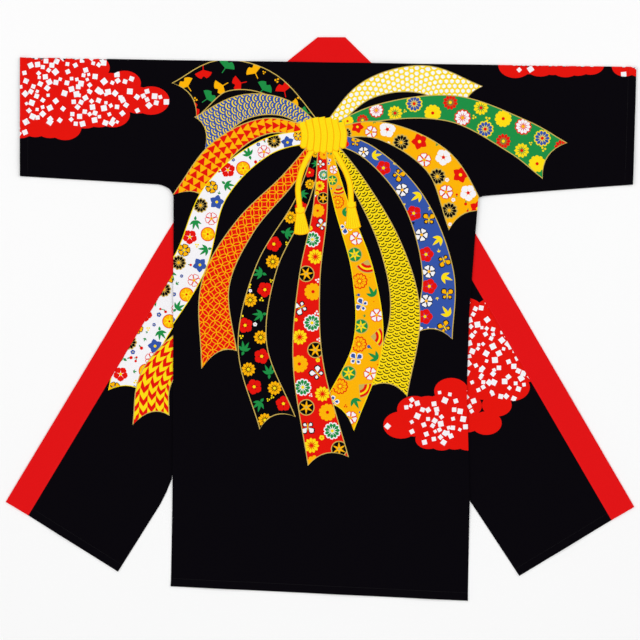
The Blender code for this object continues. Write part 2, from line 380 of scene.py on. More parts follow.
class Layout:
    """Where the layers of the laid garment lie, and how high the cloth above them runs."""

    def __init__(self, cut: GarmentCut) -> None:
        """Works out the collar's band and the areas of the hidden layers.

        Args:
            cut: The sizes and places of the garment.
        """
        self.cut = cut
        middle = np.zeros(2)
        left = smooth_path(cut.left_leg, cut.leg_steps)
        right = smooth_path(cut.right_leg, cut.leg_steps)
        self.collar_outer = np.vstack([left, cut.neck_top, right[::-1]])
        self.collar_inner = inward_offsets(self.collar_outer, middle, cut.collar_width)
        self.collar_area = np.vstack([self.collar_outer, self.collar_inner[::-1]])
        seam = inward_offsets(self.collar_outer, middle, cut.collar_width + SEAM)
        legs = cut.leg_steps + 1
        self.seams = {"left": seam[:legs], "right": seam[: -legs - 1 : -1]}
        self.turned_areas = [self._turned_area(front) for front in cut.fronts]
        self.under_areas = [self._under_area(front) for front in cut.fronts]

    def _turned_area(self, front: FrontCut) -> Points:
        """The plan of the part of a front that lies on the floor."""
        seam = spread(self.seams[front.side], np.array([0, front.seam_share]))
        return np.vstack([seam, front.fold_end, front.slit_top, front.side_edge[::-1]])

    def _under_area(self, front: FrontCut) -> Points:
        """The plan of the part of a front that stays under the back."""
        neck = front.neck_end
        shoulder = (float(self.body_edge(front.side, neck[1])), neck[1])
        return np.array([front.slit_top, front.fold_end, neck, shoulder])

    def shoulder_y(self, x: Points | float) -> Points:
        """The shoulder line's Y at some X."""
        return self.cut.shoulder[0] + self.cut.shoulder[1] * np.asarray(x)

    def hem_y(self, x: Points | float) -> Points:
        """The back hem's Y at some X."""
        return self.cut.hem[0] + self.cut.hem[1] * np.asarray(x)

    def body_edge(self, side: str, y: Points | float) -> Points:
        """The X of the body's side edge at some Y."""
        edge = self.cut.edge_left if side == "left" else self.cut.edge_right
        return np.interp(y, self.cut.edge_y, edge)

    def creased(self, vertices: Points) -> Points:
        """Raises points by the creases that run through the whole stack of cloth.

        Args:
            vertices: Points of the level stack.

        Returns:
            The raised points.
        """
        raised = vertices.copy()
        for crease in self.cut.creases:
            away = distance_to_line(vertices[:, :2], np.array([crease.start, crease.end]))
            raised[:, 2] += crease.height * np.exp(-((away / crease.width) ** 2))
        return raised

    def settle(self, distance: Points) -> Points:
        """1 over a layer and a little past its edge, then an even curve down to 0."""
        return 1 - smoothstep((distance - self.cut.level_past) / self.cut.fall)

    def under_height(self, points: Points) -> Points:
        """The underside of what lies on the collar and on the fronts' turned parts.

        Args:
            points: Places in plan.

        Returns:
            Heights above the floor.
        """
        collar = self.settle(distance_to_area(points, self.collar_area))
        away = np.min([distance_to_area(points, area) for area in self.turned_areas], axis=0)
        over_collar, over_front = (COLLAR_CLOTH + GAP) * collar, (CLOTH + GAP) * self.settle(away)
        return (over_collar**4 + over_front**4) ** 0.25

    def back_height(self, points: Points) -> Points:
        """The underside of the back, over all the layers at its sides.

        Args:
            points: Places in plan.

        Returns:
            Heights above the floor.
        """
        away = np.min([distance_to_area(points, area) for area in self.under_areas], axis=0)
        return self.under_height(points) + (CLOTH + GAP) * self.settle(away)


def hemmed_cloth(distance: Points) -> Points:
    """How thick the cloth is at some distance from a hem, where it is turned in and stitched.

    Args:
        distance: Distances from the hem's edge.

    Returns:
        Thicknesses.
    """
    return HEM_CLOTH + (CLOTH - HEM_CLOTH) * smoothstep((distance - HEM_HEIGHT) / 0.0015 + 0.5)


def thread(a: Sequence[float], b: Sequence[float], step: float) -> Points:
    """Points on a straight line at about a step apart, without the last one.

    Args:
        a: The start.
        b: The end.
        step: About how far apart the points are.

    Returns:
        The points.
    """
    a, b = np.asarray(a, float), np.asarray(b, float)
    count = max(1, round(float(np.linalg.norm(b - a)) / step))
    return a + (b - a) * (np.arange(count) / count)[:, None]


def polyline(places: Sequence[Sequence[float]], step: float) -> Points:
    """Points along straight runs between places, with the last place.

    Args:
        places: The places.
        step: About how far apart the points are.

    Returns:
        The points.
    """
    runs = [thread(a, b, step) for a, b in zip(places, places[1:])]
    return np.vstack([*runs, np.asarray(places[-1:])])


class Sheet:
    """One cut panel: its outline spread flat, with the way it folds and lies.

    A point of the flat cut is named by its place in plan where the panel's outside is up.
    """

    name = ""
    node = ""
    flat = (0.0, 0.0)
    held = "laid"
    rests_on: tuple[str, ...] = ()
    grain = 0.0
    fine = 0.010

    def __init__(self, layout: Layout) -> None:
        """Keeps the layout that the panel lies in.

        Args:
            layout: The heights and edges of the whole garment.
        """
        self.layout = layout

    def outline(self) -> Points:
        """The corners of the flat cut, in order round it."""
        raise NotImplementedError

    def inner_points(self) -> Points:
        """Points inside the flat cut that let it bend."""
        raise NotImplementedError

    def lift(self, points: Points) -> tuple[Points, Points]:
        """Takes points of the flat cut to where they lie.

        Args:
            points: Points of the flat cut.

        Returns:
            The points on the cloth's outside and on its inside.
        """
        raise NotImplementedError

    def grid(self, outline: Points, step: float, keep: Callable[[Points], Points]) -> Points:
        """An even grid of points inside the cut.

        Args:
            outline: The cut's corners.
            step: The grid's step.
            keep: Says of each point whether it is wanted.

        Returns:
            The points, none of them on the outline.
        """
        low, high = outline.min(axis=0), outline.max(axis=0)
        x, y = np.meshgrid(np.arange(low[0], high[0], step), np.arange(low[1], high[1], step))
        points = np.stack([x.ravel(), y.ravel()], axis=1)
        points = points[keep(points)]
        points = points[inside(points, outline)]
        closed = np.vstack([outline, outline[:1]])
        return points[distance_to_line(points, closed) > step * 0.3]


class BackSheet(Sheet):
    """The back, from its hem to the shoulder, where it rolls over towards the fronts."""

    name = "back_cloth"
    node = "back"
    flat = (0.65, 1.165)
    rests_on = ("front_left_cloth", "front_right_cloth", "collar_band")

    def __init__(self, layout: Layout) -> None:
        """Sets where the roll over the shoulder begins and ends on the cut."""
        super().__init__(layout)
        self.roll = CLOTH + GAP / 2
        self.past = BEND * QUARTER - self.roll

    def outline(self) -> Points:
        """The corners of the flat cut, in order round it."""
        layout, past = self.layout, self.past
        corners = {}
        for side in ("left", "right"):
            x = float(layout.body_edge(side, -0.61))
            corners[side] = (x, float(layout.hem_y(x)))
        top = {side: float(layout.body_edge(side, 0.56)) for side in ("left", "right")}
        heights = {
            side: np.append(
                np.arange(corners[side][1] + 0.01, layout.shoulder_y(top[side]) - 0.012, 0.010),
                layout.shoulder_y(top[side]) - np.array([0.006, self.roll, self.roll / 2]),
            )
            for side in ("left", "right")
        }
        sides = {
            side: np.stack([layout.body_edge(side, heights[side]), heights[side]], axis=1)
            for side in ("left", "right")
        }
        hem = thread(corners["left"], corners["right"], self.fine)
        upper = [
            (top[side], float(layout.shoulder_y(top[side])) + past) for side in ("right", "left")
        ]
        return np.vstack(
            [hem, corners["right"], sides["right"], thread(*upper, 0.006), upper[1:], sides["left"][::-1]]
        )

    def inner_points(self) -> Points:
        """Points inside the flat cut that let it bend."""
        outline = self.outline()
        layout = self.layout
        points = self.grid(
            outline, self.fine, lambda p: p[:, 1] < layout.shoulder_y(p[:, 0]) - 2.5 * self.roll
        )
        x = np.arange(layout.cut.edge_left[-1] + 0.004, layout.cut.edge_right[-1] - 0.004, 0.006)
        bends = [
            np.stack([x, layout.shoulder_y(x) - self.roll + BEND * angle], axis=1)
            for angle in QUARTER * np.array([0, 0.25, 0.5, 0.75])
        ]
        hem_rows = [
            np.stack([x, layout.hem_y(x) + HEM_HEIGHT + shift], axis=1) for shift in (-0.001, 0.001)
        ]
        hem_rows = [row[inside(row, outline)] for row in hem_rows]
        return np.vstack([points, *bends, *hem_rows])

    def lift(self, points: Points) -> tuple[Points, Points]:
        """Lays the points over the hidden layers, and rolls the last of them over the shoulder."""
        layout = self.layout
        start = layout.shoulder_y(points[:, 0]) - self.roll
        past = np.maximum(points[:, 1] - start, 0)
        angle = np.minimum(past / BEND, QUARTER)
        level = np.stack([points[:, 0], np.minimum(points[:, 1], start)], axis=1)
        low = layout.back_height(level)
        cloth = hemmed_cloth(points[:, 1] - layout.hem_y(points[:, 0]))
        centre = low - GAP / 2
        faces = []
        for reach in (GAP / 2 + cloth, GAP / 2):
            y = level[:, 1] + reach * np.sin(angle)
            faces.append(np.stack([points[:, 0], y, centre + reach * np.cos(angle)], axis=1))
        return faces[0], faces[1]


class FrontSheet(Sheet):
    """One front: turned out beside the back, folded, and going back up to the shoulder under it."""

    flat = (0.255, 1.165)
    held = "folded"
    rests_on = ("floor",)
    coarse = 0.014

    def __init__(self, layout: Layout, cut: FrontCut) -> None:
        """Works out the fold's own directions.

        Args:
            layout: The heights and edges of the whole garment.
            cut: Where this front lies.
        """
        super().__init__(layout)
        self.cut = cut
        self.name = f"front_{cut.side}_cloth"
        self.node = f"front_{cut.side}"
        self.start = np.array(cut.slit_top)
        run = np.array(cut.fold_end) - self.start
        self.length = float(np.linalg.norm(run))
        self.along = run / self.length
        turn = 1 if cut.side == "left" else -1
        self.away = np.array([self.along[1], -self.along[0]]) * turn
        seam = layout.seams[cut.side]
        lean = seam[1] - seam[0]
        self.grain = math.atan2(lean[1], lean[0]) - QUARTER
        self.hem_ends = np.array([seam[0], cut.side_edge[0]])
        self.roll = CLOTH + GAP / 2

    def _fold(self, s: Points) -> tuple[Points, Points]:
        """The bend's middle radius, and how far its centre lies in from the fold line."""
        on_fold = self.start + np.clip(s, 0, self.length)[:, None] * self.along
        radius = self.layout.under_height(on_fold) / 2
        return radius, radius + CLOTH / 2

    def _split(self, points: Points) -> tuple[Points, Points]:
        """Points as distances along the fold and square to it."""
        moved = points - self.start
        return moved @ self.along, moved @ self.away

    def unfold(self, plan: Points) -> Points:
        """Where points of the part under the back are on the flat cut.

        Args:
            plan: Places in plan.

        Returns:
            Points of the flat cut.
        """
        plan = np.atleast_2d(plan)
        s, e = self._split(plan)
        radius, inset = self._fold(s)
        opened = -inset + math.pi * radius + (-e - inset)
        return self.start + s[:, None] * self.along + opened[:, None] * self.away

    def under_outline(self) -> Points:
        """The plan of the part under the back: fold end, neck, shoulder and side, down to the slit."""
        layout, cut = self.layout, self.cut
        neck = np.array(cut.neck_end)
        past = BEND * QUARTER - self.roll
        side_x = float(layout.body_edge(cut.side, neck[1]))
        neck_top = (neck[0], float(layout.shoulder_y(neck[0])) + past)
        side_top = (side_x, float(layout.shoulder_y(side_x)) + past)
        heights = np.arange(side_top[1] - 0.010, self.start[1] + 0.012, -0.020)
        side = np.stack([layout.body_edge(cut.side, heights), heights], axis=1)
        _, inset = self._fold(np.array([self.length]))
        first = np.array(cut.fold_end) - inset[0] * self.away
        return np.vstack([thread(first, neck_top, 0.020), thread(neck_top, side_top, 0.010), side_top, side])

    def outline(self) -> Points:
        """The corners of the flat cut, in order round it."""
        cut = self.cut
        steps = round(cut.seam_share / 0.008)
        seam = spread(self.layout.seams[cut.side], np.linspace(0, cut.seam_share, steps))
        ends = []
        for s in (self.length, 0.0):
            radius, inset = self._fold(np.array([s]))
            centre = self.start + s * self.along - inset[0] * self.away
            ends.append(centre + np.outer(np.linspace(0, math.pi * radius[0], 7), self.away))
        top = thread(seam[-1], ends[0][0], 0.020)[1:]
        side = polyline([cut.slit_top, *cut.side_edge[::-1]], 0.010)[1:]
        hem = thread(cut.side_edge[0], seam[0], self.fine)[1:]
        under = self.unfold(self.under_outline())[1:]
        return np.vstack([seam, top, ends[0], under, ends[1][::-1], side, hem])

    def inner_points(self) -> Points:
        """Points inside the flat cut that let it bend."""
        outline = self.outline()

        def turned(points: Points) -> Points:
            s, e = self._split(points)
            return e < -self._fold(s)[1] - 0.006

        def under(points: Points) -> Points:
            s, e = self._split(points)
            radius, inset = self._fold(s)
            return e > -inset + math.pi * radius + 0.008

        s = np.arange(0.010, self.length - 0.005, 0.020)
        radius, inset = self._fold(s)
        base = self.start + s[:, None] * self.along
        bends = [
            base + (radius * angle - inset)[:, None] * self.away for angle in np.linspace(0, math.pi, 7)
        ]
        x = np.linspace(
            self.cut.neck_end[0], float(self.layout.body_edge(self.cut.side, 0.56)), 28
        )[1:-1]
        rolls = [
            self.unfold(np.stack([x, self.layout.shoulder_y(x) - self.roll + BEND * angle], axis=1))
            for angle in QUARTER * np.array([0, 0.33, 0.66])
        ]
        return np.vstack(
            [
                self.grid(outline, self.fine, turned),
                self.grid(outline, self.coarse, under),
                *bends,
                *rolls,
            ]
        )

    def lift(self, points: Points) -> tuple[Points, Points]:
        """Lays the turned part on the floor, bends it over, and takes the rest under the back."""
        layout = self.layout
        s, e = self._split(points)
        radius, inset = self._fold(s)
        gone = np.maximum(e + inset, 0)
        angle = np.minimum(gone / np.maximum(radius, 1e-5), math.pi)
        back = np.maximum(gone - math.pi * radius, 0)
        across = np.minimum(e, -inset) - back
        plan = self.start + s[:, None] * self.along + across[:, None] * self.away
        run = self.hem_ends[1] - self.hem_ends[0]
        run /= np.linalg.norm(run)
        hem = points - self.hem_ends[0]
        cloth = hemmed_cloth(np.abs(hem[:, 0] * run[1] - hem[:, 1] * run[0]))
        under = back > 0
        start = layout.shoulder_y(plan[:, 0]) - self.roll
        past = np.where(under, np.maximum(plan[:, 1] - start, 0), 0)
        roll = np.minimum(past / BEND, QUARTER)
        level = plan.copy()
        level[:, 1] = np.where(under, np.minimum(plan[:, 1], start), plan[:, 1])
        low = np.where(under, layout.under_height(level), 0)
        faces = []
        for outer in (True, False):
            bend_reach = radius + (-0.5 if outer else 0.5) * CLOTH
            x, y = (level + (bend_reach * np.sin(angle))[:, None] * self.away).T
            turned_z = CLOTH / 2 + radius - bend_reach * np.cos(angle)
            turned_z = np.where(gone > 0, turned_z, cloth if outer else 0)
            roll_reach = GAP / 2 + (CLOTH if outer else 0)
            under_z = low + CLOTH + GAP / 2 - roll_reach * np.cos(roll)
            y = np.where(under, level[:, 1] + roll_reach * np.sin(roll), y)
            x = np.where(under, level[:, 0], x)
            faces.append(np.stack([x, y, np.where(under, under_z, turned_z)], axis=1))
        return faces[0], faces[1]


class SleeveSheet(Sheet):
    """One sleeve: folded along its top, sewn along its bottom, open at the cuff and armhole."""

    flat = (0.335, 0.52)
    rests_on = ("floor",)
    coarse = 0.014
    loft = 0.0015

    def __init__(self, layout: Layout, cut: SleeveCut) -> None:
        """Sets where this sleeve's edges run.

        Args:
            layout: The heights and edges of the whole garment.
            cut: Where this sleeve lies.
        """
        super().__init__(layout)
        self.cut = cut
        self.name = f"sleeve_{cut.side}_cloth"
        self.node = f"sleeve_{cut.side}"
        self.way = 1 if cut.side == "right" else -1
        self.armhole = cut.armhole + self.way * SEAM

    def _share(self, x: Points) -> Points:
        """How far out an X is on the way from the armhole to the cuff."""
        return np.clip((x - self.armhole) / (self.cut.cuff_low[0] - self.armhole), 0, 1)

    def top(self, x: Points) -> Points:
        """The Y of the folded top edge."""
        start = float(self.layout.shoulder_y(self.armhole))
        share = (x - self.armhole) / (self.cut.cuff_top[0] - self.armhole)
        return start + (self.cut.cuff_top[1] - start) * share

    def low(self, x: Points) -> Points:
        """The Y of the sewn lower edge."""
        share = self._share(x)
        depths = np.interp(share, *zip(*self.cut.droop))
        return self.cut.underarm + (self.cut.cuff_low[1] - self.cut.underarm) * share - depths

    def cuff(self, y: Points) -> Points:
        """The X of the cuff's edge."""
        low, top = self.cut.cuff_low, self.cut.cuff_top
        return low[0] + (y - low[1]) * (top[0] - low[0]) / (top[1] - low[1])

    def _rolls(self, x: Points) -> tuple[Points, Points, Points, Points]:
        """The cloth, the bends' middle radius, and the Y at which the level part starts and ends."""
        cloth = hemmed_cloth(np.abs(self.cuff(0.43) - x))
        radius = (cloth + GAP) / 2
        inset = radius + cloth / 2
        return cloth, radius, self.low(x) + inset, self.top(x) - inset

    def _row(self, x: Points, place: str, share: float) -> Points:
        """A row of points of the flat cut at a share of one of its stretches."""
        _, radius, start, end = self._rolls(x)
        bend = math.pi * radius
        y = {
            "seam": start - (1 - share) * bend / 2,
            "upper": start + (end - start) * share,
            "fold": end + bend * share,
            "lower": end + bend + (end - start) * share,
            "last": end + bend + (end - start) + bend / 2 * share,
        }[place]
        return np.stack([x, y], axis=1)

    def _stations(self, step: float) -> Points:
        """The X of places from the armhole to the cuff, closer where the underarm curves."""
        inner = self.armhole + self.way * np.array([0, 0.002, 0.005, 0.010, 0.016])
        outer = np.arange(abs(self.armhole) + 0.024, abs(self.cut.cuff_low[0]) - 0.004, step)
        return np.concatenate([inner, self.way * outer])

    def outline(self) -> Points:
        """The corners of the flat cut, in order round it."""
        x = self._stations(0.010)
        bottom, last = self._row(x, "seam", 0), self._row(x, "last", 1)
        shares = {"seam": 3, "upper": 25, "fold": 7, "lower": 14, "last": 3}
        edges = {"armhole": [], "cuff": []}
        for place, count in shares.items():
            for share in np.arange(count) / count:
                at_hole = self._row(np.array([self.armhole]), place, share)[0]
                guess = self._row(np.array([self.cut.cuff_low[0]]), place, share)[0]
                _, radius, start, end = (v[0] for v in self._rolls(np.array([guess[0]])))
                plan_y = np.clip(guess[1], start, end)
                if place in ("lower", "last"):
                    plan_y = max(start, end - (guess[1] - end - math.pi * radius))
                edges["armhole"].append(at_hole)
                edges["cuff"].append((float(self.cuff(plan_y)), guess[1]))
        corner = self._row(np.array([self.cut.cuff_low[0]]), "last", 1)
        return np.vstack([bottom[1:], edges["cuff"], corner, last[::-1], edges["armhole"][::-1][:-1]])

    def inner_points(self) -> Points:
        """Points inside the flat cut that let it bend."""
        outline = self.outline()
        x = self._stations(0.010)[1:]
        rows = [
            self._row(x, place, share)
            for place, shares in {
                "seam": (0.34, 0.67, 1),
                "fold": (0, 0.17, 0.33, 0.5, 0.67, 0.83, 1),
                "last": (0, 0.33, 0.67),
            }.items()
            for share in shares
        ]

        def upper(points: Points) -> Points:
            _, _, start, end = self._rolls(points[:, 0])
            return (points[:, 1] > start + 0.003) & (points[:, 1] < end - 0.003)

        def lower(points: Points) -> Points:
            _, radius, start, end = self._rolls(points[:, 0])
            return (points[:, 1] > end + 4 * radius + 0.003) & (
                points[:, 1] < 2 * end - start + 3 * radius - 0.003
            )

        return np.vstack(
            [
                self.grid(outline, self.fine, upper),
                self.grid(outline, self.coarse, lower),
                *[row[inside(row, outline)] for row in rows],
            ]
        )

    def lift(self, points: Points) -> tuple[Points, Points]:
        """Lays the tube flat: its upper half, the fold at its top, and its lower half."""
        x, y = points.T
        cloth, radius, start, end = self._rolls(x)
        bend = math.pi * radius
        over = np.clip(y - end, 0, bend)
        below = np.maximum(y - end - bend, 0)
        is_lower = below > 0
        last = np.maximum(below - (end - start), 0)
        first = np.maximum(start - y, 0)
        level = np.where(is_lower, end - np.minimum(below, end - start), np.clip(y, start, end))
        plan = np.stack([x, level], axis=1)
        floor = self.layout.under_height(plan)
        share = (level - start) / (end - start)
        loft = self.loft * self._share(x) ** 2 * np.sin(math.pi * share)
        middle = floor + cloth + GAP / 2
        angle = np.where(is_lower, math.pi + last / radius, over / radius - first / radius)
        faces = []
        for reach in (radius + cloth / 2, radius - cloth / 2):
            height = middle + reach * np.cos(angle) + np.where(is_lower, 0, loft)
            faces.append(np.stack([x, level + reach * np.sin(angle), height], axis=1))
        return faces[0], faces[1]


Mark = tuple[Points, Ink]


@dataclass
class Figure:
    """One printed figure: where it covers, its rim, its ground, and what is printed inside it."""

    cover: list[Points]
    ground: Ink
    rim: Ink | None = None
    inner: list[Points] = field(default_factory=list)
    second: Ink | None = None
    repeat: Repeat = Repeat.PLAIN
    marks: list[Mark] = field(default_factory=list)
    course: Points | None = None


def turned(shape: Points, angle: float, place: Sequence[float] = (0, 0), size: float = 1) -> Points:
    """A shape scaled and turned about the origin, then moved.

    Args:
        shape: Its points.
        angle: How far to turn it.
        place: Where its origin goes.
        size: How much to scale it.

    Returns:
        The points.
    """
    c, s = size * math.cos(angle), size * math.sin(angle)
    return shape @ np.array([[c, s], [-s, c]]) + np.asarray(place)


def arc(radius: float, start: float = 0, end: float = TAU, count: int = 20) -> Points:
    """Points on a round line about the origin, without a double point where it closes.

    Args:
        radius: Its radius.
        start: The angle at which it starts.
        end: The angle at which it ends.
        count: How many points it has.

    Returns:
        The points.
    """
    turn = np.linspace(start, end, count, endpoint=end - start < TAU)
    return radius * np.stack([np.cos(turn), np.sin(turn)], axis=1)


def blade(start: float, end: float, width: float, blunt: float = 0.8, notch: float = 0) -> Points:
    """A leaf or petal along X.

    Args:
        start: Where it starts.
        end: Where it ends.
        width: Its greatest width.
        blunt: Below 1 it is widest near its start, above 1 near its end.
        notch: How far its tip is drawn in.

    Returns:
        The points.
    """
    t = np.linspace(0, 1, 6)
    upper = np.stack([start + (end - start) * t, width / 2 * np.sin(math.pi * t**blunt)], axis=1)
    upper[-1, 0] -= notch
    return np.vstack([upper, upper[-2:0:-1] * (1, -1)])


class Motif(Enum):
    """What is strewn inside a streamer."""

    CHERRY = 1
    PLUM = 2
    ASTER = 3
    BELLFLOWER = 4
    GINKGO = 5
    BAMBOO = 6
    FAN = 7
    BALL = 8
    BUTTERFLY = 9
    BUD = 10
    SPRIG = 11
    DOTS = 12


def bloom(count: int, width: float, blunt: float, notch: float, inks: Sequence[Ink]) -> list[Mark]:
    """A flower of radius 1 seen from the front, each petal with its own outline.

    Args:
        count: How many petals it has.
        width: A petal's width.
        blunt: A petal's form, as in blade.
        notch: How far a petal's tip is drawn in.
        inks: The inks of petals, outline and heart.

    Returns:
        The marks, lowest first.
    """
    fill, line, heart = inks
    turns = np.arange(count) * TAU / count
    outer = blade(0.0, 1.0, width * 1.28, blunt, notch)
    inner = blade(0.14, 0.90, width, blunt, notch)
    scallops = arc(1.0, count=4 * count)
    scallops[::4] *= 0.86
    back = [turned(outer, t) for t in turns] if count < 8 else [turned(scallops, turns[1] / 2)]
    marks = [(shape, line) for shape in back]
    marks += [(turned(inner, t), fill) for t in turns]
    return [*marks, (arc(0.2, count=8), heart)]


def draw(motif: Motif, inks: Sequence[Ink]) -> list[Mark]:
    """One motif about the origin, about 1 in radius.

    Args:
        motif: Which one.
        inks: Its main ink, its outline's and its heart's.

    Returns:
        The marks, lowest first.
    """
    fill, line, heart = inks
    if motif is Motif.CHERRY:
        return bloom(5, 0.66, 1.5, 0.16, inks)
    if motif is Motif.PLUM:
        return bloom(5, 0.72, 1.7, 0, inks)
    if motif is Motif.ASTER:
        return bloom(11, 0.38, 1.9, 0, inks)
    if motif is Motif.BELLFLOWER:
        return bloom(5, 0.62, 1.0, 0, inks)
    if motif is Motif.GINKGO:
        edge = arc(1.0, -1.2, 1.2, 14)
        edge[6:8] *= 0.74
        veins = [turned(np.array([(0.1, 0), (0.74, 0.03), (0.74, -0.03)]), t) for t in (-0.55, 0.55)]
        stem = np.array([(0.08, 0.05), (-0.62, 0.12), (-0.60, 0.02), (0.08, -0.05)])
        body = np.vstack([edge, [(0, 0)]])
        shapes = [(stem, fill), (body, fill), *[(vein, line) for vein in veins]]
        return [(1.12 * shape - (0.35, 0), ink) for shape, ink in shapes]
    if motif is Motif.BAMBOO:
        parts = ((-1.0, 0.95), (-0.35, 1.3), (0.3, 1.35), (0.95, 1.0), (2.9, 0.6))
        return [(turned(blade(0, reach, 0.36), t, (-0.3, 0)), fill) for t, reach in parts]
    if motif is Motif.FAN:
        marks = [(np.vstack([arc(1.7, -0.8, 0.8, 9), [(0, 0)]]), line)]
        marks += [(np.vstack([arc(1.58, -0.76, 0.76, 9), arc(0.72, -0.7, 0.7, 5)[::-1]]), fill)]
        marks += [(np.vstack([arc(1.3, -0.76, 0.76, 9), arc(1.05, -0.76, 0.76, 9)[::-1]]), heart)]
        return [(shape - (0.85, 0), ink) for shape, ink in marks]
    if motif is Motif.BALL:
        bands = [turned(blade(-0.84, 0.84, 0.30, 1.0), t) for t in (0, TAU / 6, TAU / 3)]
        marks = [(arc(0.95), line), (arc(0.84), fill), *[(band, heart) for band in bands]]
        return [*marks, (arc(0.16, count=6), line)]
    if motif is Motif.BUTTERFLY:
        wings = ((0.75, 1.05, 0.85), (-0.75, 1.05, 0.85), (2.2, 0.75, 0.62), (-2.2, 0.75, 0.62))
        marks = [(turned(blade(0, reach, width, 1.6), t), line) for t, reach, width in wings]
        marks += [
            (turned(blade(0.12, reach - 0.14, width - 0.26, 1.6), t), fill)
            for t, reach, width in wings
        ]
        return [*marks, (blade(-0.5, 0.5, 0.16, 1.0), heart)]
    if motif is Motif.BUD:
        return [(blade(-1.5, 0.2, 0.5), Ink.GREEN), (arc(0.62, count=10), fill)]
    if motif is Motif.SPRIG:
        parts = ((-0.75, 1.1), (0, 1.5), (0.75, 1.1))
        return [(turned(blade(0, reach, 0.42), t, (-0.65, 0)), fill) for t, reach in parts]
    spots = ((0.55, 0.1), (-0.4, 0.5), (-0.3, -0.6))
    return [(arc(0.42, count=8) + spot, fill) for spot in spots]


INKS = {
    "green_on_yellow": (Ink.YELLOW, Ink.GREEN, Ink.RED),
    "green_on_red": (Ink.RED, Ink.GREEN, Ink.YELLOW),
    "yellow_on_blue": (Ink.BLUE, Ink.YELLOW, Ink.RED),
    "red_on_yellow": (Ink.YELLOW, Ink.RED, Ink.RED),
    "white_on_green": (Ink.GREEN, Ink.WHITE, Ink.YELLOW),
    "red": (Ink.RED, Ink.RED, Ink.YELLOW),
    "yellow": (Ink.YELLOW, Ink.YELLOW, Ink.RED),
    "amber": (Ink.AMBER, Ink.AMBER, Ink.RED),
    "green": (Ink.GREEN, Ink.GREEN, Ink.YELLOW),
    "blue": (Ink.BLUE, Ink.BLUE, Ink.YELLOW),
    "white": (Ink.WHITE, Ink.WHITE, Ink.RED),
    "black": (Ink.BLACK, Ink.BLACK, Ink.AMBER),
    "red_on_white": (Ink.WHITE, Ink.RED, Ink.AMBER),
    "black_on_white": (Ink.WHITE, Ink.BLACK, Ink.AMBER),
    "gold_on_black": (Ink.BLACK, Ink.GOLD, Ink.AMBER),
    "red_on_amber": (Ink.AMBER, Ink.RED, Ink.YELLOW),
    "black_on_amber": (Ink.AMBER, Ink.BLACK, Ink.YELLOW),
    "gold_on_red": (Ink.RED, Ink.GOLD, Ink.YELLOW),
    "gold_on_green": (Ink.GREEN, Ink.GOLD, Ink.YELLOW),
    "white_on_blue": (Ink.BLUE, Ink.WHITE, Ink.YELLOW),
}


@dataclass(frozen=True)
class Scatter:
    """What a streamer is strewn with: large motifs in turn, then small ones in the gaps."""

    large: tuple[tuple[Motif, str], ...]
    small: tuple[tuple[Motif, str], ...] = ()
    size: float = 0.0175
    small_size: float = 0.0052
    tries: int = 160
    apart: float = 1.0


MEADOW = Scatter(
    large=(
        (Motif.PLUM, "red"),
        (Motif.BAMBOO, "green"),
        (Motif.CHERRY, "black_on_amber"),
        (Motif.BELLFLOWER, "blue"),
        (Motif.ASTER, "gold_on_black"),
        (Motif.CHERRY, "red_on_white"),
        (Motif.BAMBOO, "green"),
        (Motif.BALL, "red_on_amber"),
    ),
    small=((Motif.BUD, "red"), (Motif.DOTS, "yellow"), (Motif.SPRIG, "green"), (Motif.PLUM, "blue")),
    size=0.0165,
)
PALACE = Scatter(
    large=(
        (Motif.FAN, "gold_on_red"),
        (Motif.ASTER, "red_on_amber"),
        (Motif.SPRIG, "green"),
        (Motif.BUTTERFLY, "white_on_blue"),
        (Motif.CHERRY, "red_on_white"),
        (Motif.BALL, "gold_on_green"),
    ),
    small=((Motif.DOTS, "red"), (Motif.BUD, "blue"), (Motif.SPRIG, "green"), (Motif.PLUM, "amber")),
)
AUTUMN = Scatter(
    large=((Motif.GINKGO, "amber"), (Motif.GINKGO, "red"), (Motif.GINKGO, "green")),
    small=((Motif.DOTS, "amber"),),
    size=0.0180,
    tries=10,
    apart=1.18,
)
NIGHT = Scatter(
    large=((Motif.BAMBOO, "green"), (Motif.PLUM, "red"), (Motif.ASTER, "black_on_amber")),
    small=((Motif.DOTS, "yellow"), (Motif.PLUM, "white")),
    tries=60,
    apart=1.1,
)
RIVER = Scatter(
    large=(
        (Motif.CHERRY, "black_on_white"),
        (Motif.SPRIG, "yellow"),
        (Motif.PLUM, "red"),
        (Motif.BUTTERFLY, "black_on_amber"),
    ),
    small=((Motif.SPRIG, "yellow"), (Motif.DOTS, "white"), (Motif.SPRIG, "black")),
    tries=90,
)
MINT = Scatter(
    large=(
        (Motif.ASTER, "green_on_yellow"),
        (Motif.ASTER, "yellow_on_blue"),
        (Motif.ASTER, "yellow"),
        (Motif.ASTER, "green_on_red"),
        (Motif.ASTER, "red_on_white"),
    ),
    small=((Motif.DOTS, "yellow"),),
    tries=24,
    size=0.0185,
    apart=1.25,
)
SUNSET = Scatter(
    large=(
        (Motif.CHERRY, "red_on_white"),
        (Motif.PLUM, "white"),
        (Motif.ASTER, "gold_on_black"),
        (Motif.BELLFLOWER, "red"),
    ),
    small=((Motif.BUD, "red"), (Motif.SPRIG, "green"), (Motif.PLUM, "white")),
    size=0.0185,
    tries=50,
    apart=1.1,
)
FESTIVAL = Scatter(
    large=(
        (Motif.ASTER, "red_on_yellow"),
        (Motif.BALL, "gold_on_black"),
        (Motif.ASTER, "amber"),
        (Motif.BUTTERFLY, "black_on_white"),
        (Motif.ASTER, "white_on_green"),
    ),
    small=((Motif.PLUM, "yellow"), (Motif.DOTS, "white")),
    size=0.0190,
    tries=60,
    apart=1.1,
)


